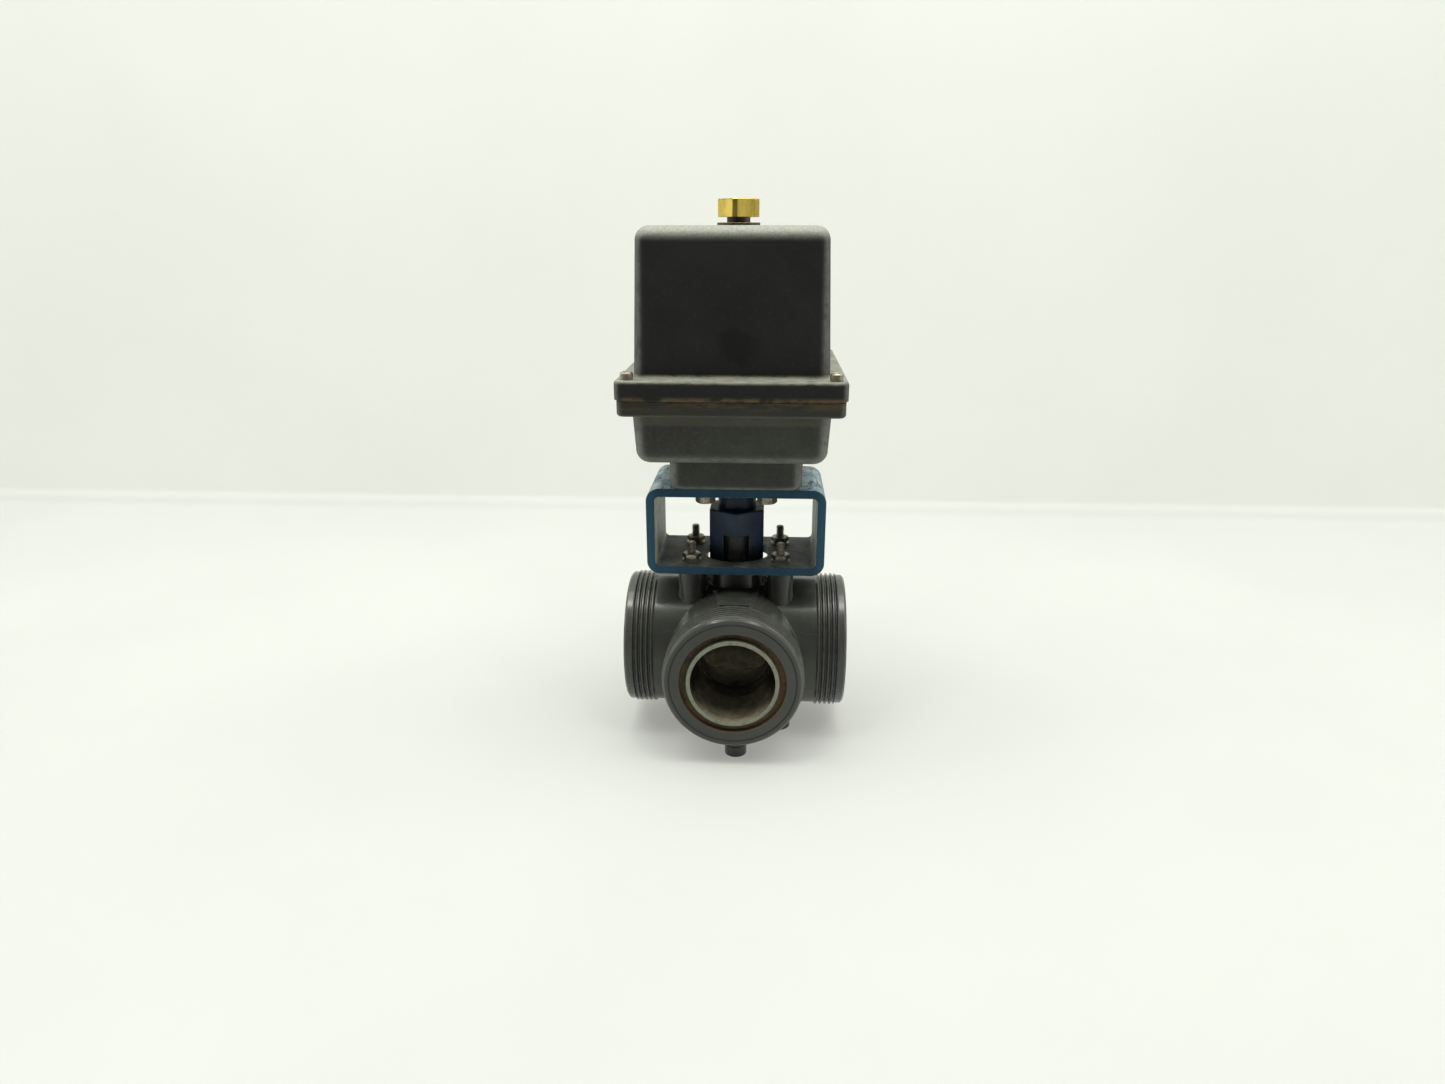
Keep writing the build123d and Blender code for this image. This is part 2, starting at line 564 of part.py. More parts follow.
def cams():
    """Two lobed discs; each lobe meets its own limit switch at one end of the quarter turn."""
    for index, (node, lobe_turn) in enumerate((("cam_closed", 180.0), ("cam_open", 90.0))):
        low = CAM_Z + index * CAM
        cam = disc(CAM_R, low, low + CAM)
        reach = LOBE_R + 5
        wedge = [(0, 0), (reach, -reach * tan(radians(24))), (reach, reach * tan(radians(24)))]
        wedge_face = make_face(Polyline(*wedge, close=True))
        lobe = Pos(0, 0, low) * Rot(0, 0, lobe_turn) * extrude(wedge_face, CAM)
        cam += lobe & disc(LOBE_R, low, low + CAM)
        cam -= disc(SHAFT_R + 0.02, low - 1, low + CAM + 1)
        keep(node, cam)


# ---------------------------------------------------------------- gear train

def middle_place():
    """Centre of the middle gear, a set distance from the output shaft and from the first gear."""
    from_output = OUTPUT_MODULE * (OUTPUT_TEETH + PINION_TEETH) / 2
    from_first = MIDDLE_MODULE * (MIDDLE_TEETH + PINION_TEETH) / 2
    reach = hypot(*FIRST_AT)
    opening = acos((reach ** 2 + from_output ** 2 - from_first ** 2) / (2 * reach * from_output))
    heading = atan2(FIRST_AT[1], FIRST_AT[0]) - opening
    return (from_output * cos(heading), from_output * sin(heading))


def heading_to(start, end):
    return atan2(end[1] - start[1], end[0] - start[0])


def spur_gear(module, teeth, low, high, at, phase):
    """Involute gear; phase is the direction of one tooth, in radians."""
    pitch_r = module * teeth / 2
    base_r = pitch_r * cos(radians(PRESSURE_ANGLE))
    tip_r = pitch_r + 0.8 * module
    root_r = pitch_r - 1.05 * module
    start_r = max(base_r, root_r)
    half_tooth = pi / (2 * teeth) - BACKLASH / (2 * pitch_r)

    def flank_offset(radius):
        angle = acos(min(1.0, base_r / radius))
        pitch_angle = radians(PRESSURE_ANGLE)
        return half_tooth + (tan(pitch_angle) - pitch_angle) - (tan(angle) - angle)

    steps = 4
    radii = [start_r + (tip_r - start_r) * step / steps for step in range(steps + 1)]
    flank = [(radius, flank_offset(radius)) for radius in radii]
    if root_r < base_r:
        flank.insert(0, (root_r, flank[0][1]))
    points = []
    for tooth in range(teeth):
        middle = phase + 2 * pi * tooth / teeth
        points += [(radius, middle - offset) for radius, offset in flank]
        points += [(radius, middle + offset) for radius, offset in reversed(flank)]
    outline = Polyline(*[(radius * cos(turn), radius * sin(turn)) for radius, turn in points], close=True)
    return Pos(at[0], at[1], low) * extrude(make_face(outline), high - low)


def gears():
    """Motor pinion, two compound gears and the output gear, all in mesh at rest."""
    middle_at = middle_place()
    origin = (0, 0)
    half_pinion = pi / PINION_TEETH

    output = spur_gear(OUTPUT_MODULE, OUTPUT_TEETH, GEAR_Z, GEAR_Z + GEAR_WIDTH, origin,
                       heading_to(origin, middle_at))
    output -= disc(SHAFT_R + 0.02, GEAR_Z - 1, GEAR_Z + GEAR_WIDTH + 1)
    key_way = KEY_HALF + FIT
    output -= block((-key_way, key_way), (-SHAFT_R - key_way, 0), (GEAR_Z - 1, GEAR_Z + GEAR_WIDTH + 1))
    keep("output_gear", output)

    middle_low = FLOOR_Z + 2.2
    middle_gear_z = GEAR_Z + GEAR_WIDTH + 2.0
    middle_top = middle_gear_z + THIN_GEAR
    middle = spur_gear(OUTPUT_MODULE, PINION_TEETH, middle_low, middle_gear_z, middle_at,
                       heading_to(middle_at, origin) + half_pinion)
    middle += spur_gear(MIDDLE_MODULE, MIDDLE_TEETH, middle_gear_z, middle_top, middle_at,
                        heading_to(middle_at, FIRST_AT))
    middle -= disc(PIN_R + FIT, middle_low - 1, middle_top + 1, middle_at)
    keep("middle_gear", middle)
    keep("middle_gear_pin", disc(PIN_R, FLOOR_Z - PIN_SEAT, PLATE_TOP, middle_at))

    first_low = middle_gear_z - 0.5
    first_gear_z = middle_top + 2.0
    first_top = first_gear_z + THIN_GEAR
    first = spur_gear(MIDDLE_MODULE, PINION_TEETH, first_low, first_gear_z, FIRST_AT,
                      heading_to(FIRST_AT, middle_at) + half_pinion)
    first += spur_gear(FIRST_MODULE, FIRST_TEETH, first_gear_z, first_top, FIRST_AT,
                       heading_to(FIRST_AT, MOTOR_AT))
    first -= disc(PIN_R + FIT, first_low - 1, first_top + 1, FIRST_AT)
    keep("first_gear", first)
    first_pin = disc(PIN_R, first_low - 1.0, PLATE_TOP, FIRST_AT)
    keep("first_gear_pin", first_pin + disc(PIN_R + 1.2, first_low - 1.0, first_low - 0.3, FIRST_AT))

    rotor = spur_gear(FIRST_MODULE, PINION_TEETH, first_gear_z - 0.5, first_top + 0.5, MOTOR_AT,
                      heading_to(MOTOR_AT, FIRST_AT) + half_pinion)
    rotor += disc(MOTOR_SHAFT_R, first_top, ROTOR_HIGH + 8, MOTOR_AT)
    rotor += disc(ROTOR_R, ROTOR_LOW, ROTOR_HIGH, MOTOR_AT)
    keep("motor_rotor", rotor)


def gear_plate():
    plate = rounded_slab(*PLATE_SIZE, 4.0, PLATE_Z, PLATE_TOP)
    holes = [
        (SHAFT_R + 3, (0, 0)),
        (5.0, MOTOR_AT),
        (PIN_R, middle_place()),
        (PIN_R, FIRST_AT),
    ]
    for radius, at in holes:
        plate -= disc(radius, PLATE_Z - 1, PLATE_TOP + 1, at)
    for hole in plate_post_places(disc(POST_SCREW_R + 0.2, PLATE_Z - 1, PLATE_TOP + 1)):
        plate -= hole
    keep("gear_plate", plate)
    screw = disc(2 * POST_SCREW_R, PLATE_TOP, PLATE_TOP + 2)
    screw += disc(POST_SCREW_R, PLATE_Z - POST_HOLE + 2, PLATE_TOP)
    keep("gear_plate_screws", *plate_post_places(screw))


# ---------------------------------------------------------------- motor and electrics

def motor():
    """Closed motor can with room for its rotor, and the run capacitor beside it."""
    can = disc(MOTOR_R, PLATE_TOP, PLATE_TOP + MOTOR_HEIGHT, MOTOR_AT)
    can = fillet(can.edges().group_by(Axis.Z)[-1], 3.0)
    can -= disc(ROTOR_R + 0.6, ROTOR_LOW - 1, ROTOR_HIGH + 1, MOTOR_AT)
    can -= disc(MOTOR_SHAFT_R + FIT, PLATE_TOP - 1, ROTOR_HIGH + 9, MOTOR_AT)
    keep("motor_can", can)
    capacitor = disc(CAPACITOR_R, PLATE_TOP, PLATE_TOP + CAPACITOR_HEIGHT, CAPACITOR_AT)
    keep("run_capacitor", fillet(capacitor.edges().group_by(Axis.Z)[-1], 1.5))
    clip_back = CAPACITOR_AT[1] - CAPACITOR_R
    clip_x = (CAPACITOR_AT[0] - CLIP_HALF, CAPACITOR_AT[0] + CLIP_HALF)
    keep("capacitor_clip", block(clip_x, (clip_back - CLIP, clip_back), (PLATE_TOP, PLATE_TOP + 20)))


def terminal_strip():
    """Six-way strip: a well with a screw at each way, and slots between the ways."""
    low_x, high_x = TERMINAL_X
    middle_x = (low_x + high_x) / 2
    well_z = PLATE_TOP + TERMINAL_HEIGHT / 2
    top_z = PLATE_TOP + TERMINAL_HEIGHT
    strip = block(TERMINAL_X, TERMINAL_Y, (PLATE_TOP, top_z))
    pitch = (TERMINAL_Y[1] - TERMINAL_Y[0]) / TERMINALS
    screws = []
    for index in range(TERMINALS):
        way_y = TERMINAL_Y[0] + (index + 0.5) * pitch
        strip -= disc(2.7, well_z, top_z + 1, (middle_x, way_y))
        if index:
            slot_y = way_y - pitch / 2
            strip -= block((low_x - 1, high_x + 1), (slot_y - 0.5, slot_y + 0.5), (top_z - 3, top_z + 1))
        screws.append(disc(2.5, well_z, top_z - 1, (middle_x, way_y)))
    keep("terminal_strip", strip)
    keep("terminal_screws", *screws)


def limit_switches():
    """Two stacked switches on an angle bracket, each with a sprung button facing its cam."""
    back = SWITCH_X - SWITCH_DEPTH
    wide = SWITCH_HALF + 3
    stand = block((back - 2, back), (-wide, wide), (PLATE_TOP, CAM_Z + 2 * CAM + 1))
    stand += block((back - 12, back), (-wide, wide), (PLATE_TOP, PLATE_TOP + 1.5))
    keep("switch_bracket", stand)
    button_reach = -LOBE_R - BUTTON_GAP
    for index, name in enumerate(("closed", "open")):
        low = CAM_Z + index * CAM + 0.1
        high = low + CAM - 0.2
        along = Pos(0, 0, (low + high) / 2) * Rot(0, 90, 0)
        case = block((back, SWITCH_X), (-SWITCH_HALF, SWITCH_HALF), (low, high))
        case -= along * disc(BUTTON_R + 0.1, SWITCH_X - 7.5, SWITCH_X + 1)
        keep(f"limit_switch_{name}", case)
        keep(f"switch_button_{name}", along * disc(BUTTON_R, button_reach - BUTTON_LENGTH, button_reach))


def main():
    valve_body()
    carriers_and_seats()
    ball()
    stem()
    bracket()
    bracket_fasteners()
    coupling()
    base_housing()
    gasket()
    cover()
    cover_fittings()
    output_shaft()
    override_block()
    cams()
    gears()
    gear_plate()
    motor()
    terminal_strip()
    limit_switches()
    os.makedirs("parts", exist_ok=True)
    for node, shape in PARTS.items():
        export_step(shape, f"parts/{node}.step")


main()
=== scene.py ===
import json
import math

import bmesh
import bpy
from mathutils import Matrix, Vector


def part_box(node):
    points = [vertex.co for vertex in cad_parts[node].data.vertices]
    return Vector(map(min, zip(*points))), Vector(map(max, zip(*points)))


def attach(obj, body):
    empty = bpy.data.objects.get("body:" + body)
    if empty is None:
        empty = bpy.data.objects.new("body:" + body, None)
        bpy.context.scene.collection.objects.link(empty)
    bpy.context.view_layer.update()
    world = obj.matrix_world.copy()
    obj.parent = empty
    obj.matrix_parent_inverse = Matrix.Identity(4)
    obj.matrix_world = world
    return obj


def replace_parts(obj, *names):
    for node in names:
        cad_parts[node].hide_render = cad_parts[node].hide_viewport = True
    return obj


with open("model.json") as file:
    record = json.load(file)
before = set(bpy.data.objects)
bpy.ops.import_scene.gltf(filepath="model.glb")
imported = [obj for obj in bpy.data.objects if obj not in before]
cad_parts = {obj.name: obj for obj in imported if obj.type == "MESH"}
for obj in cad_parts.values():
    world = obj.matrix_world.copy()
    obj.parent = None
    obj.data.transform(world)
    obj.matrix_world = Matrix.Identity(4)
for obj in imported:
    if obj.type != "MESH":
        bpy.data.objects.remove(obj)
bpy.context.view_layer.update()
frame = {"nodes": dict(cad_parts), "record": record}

NODES = frame["nodes"]


# ---------------------------------------------------------------- places, all from the frame

COVER_LOW, COVER_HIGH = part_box("actuator_cover")
BASE_LOW, BASE_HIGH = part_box("base_housing")
BRACKET_LOW, BRACKET_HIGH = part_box("mounting_bracket")
CARRIER_LOW, CARRIER_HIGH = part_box("end_carrier_front")
PORT_Z = (CARRIER_LOW.z + CARRIER_HIGH.z) / 2
BARREL_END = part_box("end_carrier_right")[1].x
COUPLING_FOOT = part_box("drive_coupling")[0].z

# sizes repeated from the CAD, because no bounding box gives them
COVER_FLANGE = 0.0099
BRACKET_WALL = 0.00476
LOCK_WASHER = 0.0016

# where colours change: under the base's flange, just outside a bore's wall, ahead of the valve
# body's rear bulge, and under the coupling's collar
BASE_FLANGE = 0.0085
BORE_R = 0.02395
REAR_BULGE_Y = 0.028
COLLAR_RISE = 0.0305

# radii on a port's face, from the bore outwards
PALE_RING = (0.0239, 0.0261)
STAINED_RING = (0.0264, 0.0302)
BROWN_LINE = (0.0300, 0.0306)
CARRIER_SEAM = (0.0354, 0.0362)
TURNED_FACE = (0.0364, 0.0410)
RIDGE_HIGHLIGHTS_PER_METRE = 12000.0

# where the dark smudge sits on the cover's front wall, and how far it reaches
SMUDGE_X = 0.0015
SMUDGE_RISE = 0.027
SMUDGE_REACH = (0.0215, 0.016)

# details of the fasteners that are finer here than in the CAD
TURNED_SIDES = 48
HEX_CROWN = 0.47
NUT_BORE = 0.00245
COUNTERSINK = 0.0004
STUD_PITCH = 0.0008
STUD_SIDES = 24
THREAD_DEPTH = 0.55
THREAD_CHAMFER = 0.0006
WASHER_STEPS = 40
WASHER_ARC = math.radians(352)
WASHER_LEAN = 0.10
WASHER_START = 0.6
WASHER_TURN = 1.3
BOLT_SHANK_R = 0.003
BOLT_DISH = 0.0003
BOLT_DISH_R = 0.0030
BOLT_CHAMFER_SLOPE = 0.58
SCREW_HEAD = 0.004
SCREW_SHANK_R = 0.002
SCREW_RECESS_FLATS = 0.003
SCREW_RECESS_DEPTH = 0.002
SCREW_RECESS_MOUTH = 0.0019
SCREW_BREAK = 0.0002
SCREW_ROUND = 0.0013
SCREW_ROUND_STEPS = 6


def islands(node):
    """Boxes of the separate solids in a CAD node, as (low, high) corners."""
    mesh = NODES[node].data
    place = NODES[node].matrix_world
    bm = bmesh.new()
    bm.from_mesh(mesh)
    bmesh.ops.remove_doubles(bm, verts=bm.verts, dist=1e-6)
    waiting = set(bm.verts)
    boxes = []
    while waiting:
        front = [waiting.pop()]
        found = []
        while front:
            vertex = front.pop()
            found.append(place @ vertex.co)
            for edge in vertex.link_edges:
                other = edge.other_vert(vertex)
                if other in waiting:
                    waiting.remove(other)
                    front.append(other)
        low = Vector([min(point[axis] for point in found) for axis in range(3)])
        high = Vector([max(point[axis] for point in found) for axis in range(3)])
        boxes.append((low, high))
    bm.free()
    return sorted(boxes, key=lambda pair: tuple(round(value, 5) for value in pair[0]))


# ---------------------------------------------------------------- node-tree helper

class Shader:
    """Small wrapper that builds a Principled material out of procedural nodes."""

    def __init__(self, name, **constants):
        self.material = bpy.data.materials.new(name)
        self.material.use_nodes = True
        self.tree = self.material.node_tree
        self.bsdf = self.tree.nodes["Principled BSDF"]
        self.coords = self.tree.nodes.new("ShaderNodeTexCoord")
        self.place = self.coords.outputs["Object"]
        self.normal = self.coords.outputs["Normal"]
        for socket, value in constants.items():
            self.bsdf.inputs[socket.replace("_", " ")].default_value = value

    def link(self, value, socket):
        """Link another node's output to a socket, or set the socket to a plain value."""
        if isinstance(value, bpy.types.NodeSocket):
            self.tree.links.new(value, socket)
        else:
            socket.default_value = value

    def noise(self, scale, detail=4.0, roughness=0.55, distortion=0.0, stretch=None):
        """Fractal noise in object space, finer along an axis that is stretched by more than 1."""
        node = self.tree.nodes.new("ShaderNodeTexNoise")
        node.inputs["Scale"].default_value = scale
        node.inputs["Detail"].default_value = detail
        node.inputs["Roughness"].default_value = roughness
        node.inputs["Distortion"].default_value = distortion
        self.link(self.stretched(stretch) if stretch else self.place, node.inputs["Vector"])
        return node.outputs["Fac"]

    def stretched(self, stretch):
        """Object coordinates scaled by a factor along each axis."""
        node = self.tree.nodes.new("ShaderNodeMapping")
        node.inputs["Scale"].default_value = stretch
        self.link(self.place, node.inputs["Vector"])
        return node.outputs["Vector"]

    def axis(self, vector, index):
        """One component of a vector: 0, 1 or 2 for x, y or z."""
        node = self.tree.nodes.new("ShaderNodeSeparateXYZ")
        self.link(vector, node.inputs[0])
        return node.outputs[index]

    def maths(self, operation, first, second=0.0, clamp=False):
        """Result of one maths node; operations on a single value leave the second out."""
        node = self.tree.nodes.new("ShaderNodeMath")
        node.operation = operation
        node.use_clamp = clamp
        self.link(first, node.inputs[0])
        self.link(second, node.inputs[1])
        return node.outputs[0]

    def span(self, value, low, high, out_low=0.0, out_high=1.0):
        """Map a value smoothly from one range to another, clamped."""
        node = self.tree.nodes.new("ShaderNodeMapRange")
        node.interpolation_type = "SMOOTHSTEP"
        self.link(value, node.inputs["Value"])
        limits = (("From Min", low), ("From Max", high), ("To Min", out_low), ("To Max", out_high))
        for socket, number in limits:
            node.inputs[socket].default_value = number
        return node.outputs["Result"]

    def mix(self, factor, first, second):
        """Colour between two others: the first where the factor is 0, the second where it is 1."""
        node = self.tree.nodes.new("ShaderNodeMix")
        node.data_type = "RGBA"
        self.link(factor, node.inputs[0])
        for value, socket in ((first, node.inputs[6]), (second, node.inputs[7])):
            self.link((*value, 1.0) if isinstance(value, tuple) else value, socket)
        return node.outputs[2]

    def blend(self, factor, first, second):
        """Number between two others: the first where the factor is 0, the second where it is 1."""
        node = self.tree.nodes.new("ShaderNodeMix")
        node.data_type = "FLOAT"
        self.link(factor, node.inputs[0])
        self.link(first, node.inputs[2])
        self.link(second, node.inputs[3])
        return node.outputs[0]

    def corner_mask(self, low, high):
        """1 on rounded corners, 0 on faces square to an axis."""
        parts = [self.maths("ABSOLUTE", self.axis(self.normal, index)) for index in range(3)]
        largest = self.maths("MAXIMUM", self.maths("MAXIMUM", parts[0], parts[1]), parts[2])
        return self.span(largest, high, low)

    def distance(self, *parts):
        """Length of the vector made of one or two scalar parts."""
        squares = [self.maths("MULTIPLY", part, part) for part in parts]
        total = squares[0]
        for square in squares[1:]:
            total = self.maths("ADD", total, square)
        return self.maths("SQRT", total)

    def band(self, value, low, high, soft):
        """1 between two values, fading to 0 over a soft margin outside them."""
        above = self.span(value, low - soft, low)
        below = self.span(value, high + soft, high)
        return self.maths("MULTIPLY", above, below)

    def rounded(self, radius):
        """Surface normal with the edges rounded off."""
        bevel = self.tree.nodes.new("ShaderNodeBevel")
        bevel.samples = 4
        bevel.inputs["Radius"].default_value = radius
        return bevel.outputs[0]

    def edge_mask(self, radius, low, high):
        """1 along edges, from how far a rounded normal leans away from the true one."""
        geometry = self.tree.nodes.new("ShaderNodeNewGeometry")
        product = self.tree.nodes.new("ShaderNodeVectorMath")
        product.operation = "DOT_PRODUCT"
        self.link(self.rounded(radius), product.inputs[0])
        self.link(geometry.outputs["Normal"], product.inputs[1])
        lean = self.maths("SUBTRACT", 1.0, product.outputs["Value"])
        return self.span(lean, low, high)

    def bump(self, height, strength, distance, under=None):
        """Normal bent by a height, on top of another normal when one is given."""
        node = self.tree.nodes.new("ShaderNodeBump")
        node.inputs["Strength"].default_value = strength
        node.inputs["Distance"].default_value = distance
        self.link(height, node.inputs["Height"])
        if under is not None:
            self.link(under, node.inputs["Normal"])
        return node.outputs["Normal"]

    def finish(self, colour, roughness, metallic=None, normal=None):
        """Feed the Principled shader and return the material."""
        for value, socket in ((colour, "Base Color"), (roughness, "Roughness"), (metallic, "Metallic"),
                              (normal, "Normal")):
            if value is not None:
                self.link((*value, 1.0) if isinstance(value, tuple) else value, self.bsdf.inputs[socket])
        return self.material


# ---------------------------------------------------------------- materials

def smudge(s):
    """1 on an uneven round spot low on the cover's front wall."""
    offset = s.tree.nodes.new("ShaderNodeVectorMath")
    offset.operation = "DISTANCE"
    s.link(s.place, offset.inputs[0])
    offset.inputs[1].default_value = (SMUDGE_X, COVER_LOW.y, COVER_LOW.z + SMUDGE_RISE)
    wobble = s.maths("MULTIPLY", s.noise(110, 3), 0.011)
    return s.span(s.maths("ADD", offset.outputs["Value"], wobble), *SMUDGE_REACH)


def cover_paint():
    """Near-black satin paint on a casting, dusty at its foot and rubbed on its rounded edges, with painted
    light towards its top and a painted highlight along the top edge.
    """
    s = Shader("cover_paint", Specular_IOR_Level=0.32)
    patches = s.noise(14, 5, 0.6)
    speckle = s.noise(420, 4, 0.75)
    height = s.axis(s.place, 2)
    wall_foot = COVER_LOW.z + COVER_FLANGE
    top = COVER_HIGH.z
    base = s.mix(s.span(patches, 0.3, 0.72), (0.0080, 0.0082, 0.0078), (0.0160, 0.0165, 0.0156))
    base = s.mix(s.maths("MULTIPLY", s.span(speckle, 0.52, 0.75), 0.4), base, (0.034, 0.035, 0.033))
    # painted light: the wall is lightened towards its top, where the light from above falls
    upper = s.span(height, COVER_LOW.z + 0.04, top)
    base = s.mix(s.maths("MULTIPLY", upper, 0.35), base, (0.026, 0.027, 0.025))
    corner = s.corner_mask(0.80, 0.995)
    rubbed = s.maths("MULTIPLY", corner, s.span(s.noise(130, 6, 0.8), 0.30, 0.60, 0.35, 1.0), clamp=True)
    colour = s.mix(rubbed, base, (0.105, 0.108, 0.098))
    # painted highlight with worn paint: a light band on the top rounding, where the overhead light falls,
    # broken by grainy worn paint
    top_edge_wear_and_highlight = s.maths("MULTIPLY", s.span(height, top - 0.0082, top - 0.0020),
                       s.span(s.noise(700, 4, 0.75), 0.0, 0.85, 0.3, 1.0))
    colour = s.mix(top_edge_wear_and_highlight, colour, (0.34, 0.345, 0.305))
    dust = s.maths("MULTIPLY", s.band(height, wall_foot - 0.0006, wall_foot + 0.0012, 0.0016),
                   s.span(s.noise(85, 5, 0.75, stretch=(1, 1, 3)), 0.30, 0.60))
    colour = s.mix(s.maths("MULTIPLY", dust, 0.8), colour, (0.20, 0.195, 0.155))
    ledge = s.maths("MULTIPLY", s.span(s.axis(s.normal, 2), 0.80, 0.95),
                    s.maths("LESS_THAN", height, wall_foot + 0.001))
    ledge = s.maths("MULTIPLY", ledge, s.span(s.noise(48, 5, 0.75), 0.30, 0.62, 0.15, 0.65))
    colour = s.mix(ledge, colour, (0.34, 0.345, 0.295))
    colour = s.mix(s.maths("MULTIPLY", smudge(s), 0.8), colour, (0.004, 0.004, 0.004))
    seam = s.span(height, COVER_LOW.z + 0.0024, COVER_LOW.z + 0.0002)
    seam = s.maths("MULTIPLY", seam, s.span(s.noise(60, 4, 0.7), 0.36, 0.58))
    colour = s.mix(seam, colour, (0.115, 0.078, 0.038))
    rough = s.blend(rubbed, s.span(patches, 0.2, 0.8, 0.44, 0.58), 0.52)
    normal = s.bump(s.noise(900, 3, 0.65), 0.35, 0.0004, s.rounded(0.0006))
    normal = s.bump(s.noise(260, 4, 0.65), 0.30, 0.0006, normal)
    normal = s.bump(s.noise(38, 4), 0.45, 0.0009, normal)
    return s.finish(colour, rough, None, normal)


def cast_housing():
    """Olive-grey painted casting with rubbed edges, rust smears where its flange meets the seam, and a
    painted highlight in the band just under the flange.
    """
    s = Shader("cast_housing", Specular_IOR_Level=0.38)
    patches = s.noise(24, 5, 0.65)
    speckle = s.noise(430, 4, 0.75)
    height = s.axis(s.place, 2)
    flange_foot = BASE_HIGH.z - BASE_FLANGE
    base = s.mix(s.span(patches, 0.3, 0.7), (0.030, 0.031, 0.026), (0.056, 0.059, 0.049))
    base = s.mix(s.maths("MULTIPLY", s.span(speckle, 0.5, 0.75), 0.55), base, (0.085, 0.088, 0.076))
    brown = s.maths("MULTIPLY", s.span(s.axis(s.place, 0), 0.0, -0.045),
                    s.maths("MULTIPLY", s.span(s.noise(28, 4, 0.7), 0.4, 0.65),
                            s.span(height, BASE_LOW.z + 0.028, BASE_LOW.z + 0.040)))
    base = s.mix(s.maths("MULTIPLY", brown, 0.6), base, (0.060, 0.047, 0.028))
    corner = s.corner_mask(0.80, 0.995)
    rubbed = s.maths("MULTIPLY", corner, s.span(s.noise(120, 6, 0.8), 0.28, 0.62, 0.3, 1.0), clamp=True)
    colour = s.mix(rubbed, base, (0.165, 0.172, 0.155))
    flange = s.span(height, flange_foot, flange_foot + 0.0013)
    colour = s.mix(s.maths("MULTIPLY", flange, 0.70), colour, (0.022, 0.022, 0.018))
    smears = s.span(s.noise(34, 5, 0.75, stretch=(1, 1, 5)), 0.44, 0.60)
    rust = s.maths("MULTIPLY", s.span(height, BASE_HIGH.z - 0.0055, BASE_HIGH.z - 0.001), smears)
    colour = s.mix(s.maths("MULTIPLY", rust, 0.8), colour, (0.105, 0.072, 0.032))
    worn = s.maths("MULTIPLY", s.maths("MULTIPLY", flange, s.edge_mask(0.0009, 0.01, 0.10)),
                   s.span(s.noise(260, 5, 0.8), 0.40, 0.58))
    colour = s.mix(worn, colour, (0.20, 0.205, 0.185))
    # painted highlight: a lighter band in the fillet just under the flange, standing in for light from
    # below
    under = s.band(height, flange_foot - 0.0040, flange_foot - 0.0001, 0.002)
    colour = s.mix(s.maths("MULTIPLY", under, 0.45), colour, (0.115, 0.112, 0.078))
    rough = s.blend(rubbed, 0.56, 0.5)
    normal = s.bump(s.noise(850, 3, 0.65), 0.4, 0.0004, s.rounded(0.0006))
    normal = s.bump(s.noise(240, 4, 0.65), 0.3, 0.0006, normal)
    normal = s.bump(s.noise(55, 4), 0.4, 0.0008, normal)
    return s.finish(colour, rough, None, normal)


def blue_paint():
    """Blue tube paint: clean on the cut edges, scuffed grey on the outside, dusty inside."""
    s = Shader("blue_paint", Specular_IOR_Level=0.22)
    clean = s.mix(s.span(s.noise(35, 4), 0.3, 0.7), (0.006, 0.042, 0.080), (0.011, 0.066, 0.120))
    out = s.maths("ABSOLUTE", s.axis(s.place, 0))
    upright = s.span(out, BRACKET_HIGH.x - 0.007, BRACKET_HIGH.x - 0.002)
    clean = s.mix(s.maths("MULTIPLY", upright, 0.6), clean, (0.030, 0.110, 0.165))
    height = s.axis(s.place, 2)
    up = s.span(s.axis(s.normal, 2), 0.45, 0.85)
    scuffs = s.span(s.noise(95, 7, 0.8, 0.5), 0.38, 0.62)
    streaks = s.span(s.noise(60, 6, 0.8, 0.6, stretch=(3, 0.8, 1)), 0.54, 0.60)
    scuffed = s.mix(scuffs, (0.15, 0.25, 0.32), (0.46, 0.52, 0.52))
    scuffed = s.mix(streaks, scuffed, (0.045, 0.075, 0.115))
    colour = s.mix(up, clean, scuffed)
    sides = s.span(s.maths("ABSOLUTE", s.axis(s.normal, 0)), 0.8, 0.95)
    inside = s.maths("LESS_THAN", out, BRACKET_HIGH.x - 0.002)
    runs = s.span(s.noise(70, 6, 0.8, stretch=(1, 1, 0.35)), 0.40, 0.62)
    dusty = s.mix(runs, (0.56, 0.58, 0.47), (0.22, 0.27, 0.26))
    level = s.maths("LESS_THAN", height, (BRACKET_LOW.z + BRACKET_HIGH.z) / 2)
    floor_mask = s.maths("MULTIPLY", up, level)
    grimy = s.mix(s.span(s.noise(95, 6, 0.75), 0.36, 0.62), (0.045, 0.050, 0.046), (0.125, 0.13, 0.115))
    inner = s.maths("MULTIPLY", sides, inside)
    colour = s.mix(inner, colour, dusty)
    colour = s.mix(floor_mask, colour, grimy)
    edge = s.edge_mask(0.0010, 0.01, 0.12)
    chips = s.maths("MULTIPLY", edge, s.span(s.noise(230, 5, 0.8), 0.50, 0.60))
    colour = s.mix(chips, colour, (0.17, 0.19, 0.19))
    rough = s.blend(s.maths("MAXIMUM", up, inner), 0.30, 0.58)
    normal = s.bump(s.noise(320, 4, 0.6), 0.2, 0.0004, s.rounded(0.0007))
    normal = s.bump(scuffs, 0.12, 0.0002, normal)
    return s.finish(colour, rough, None, normal)


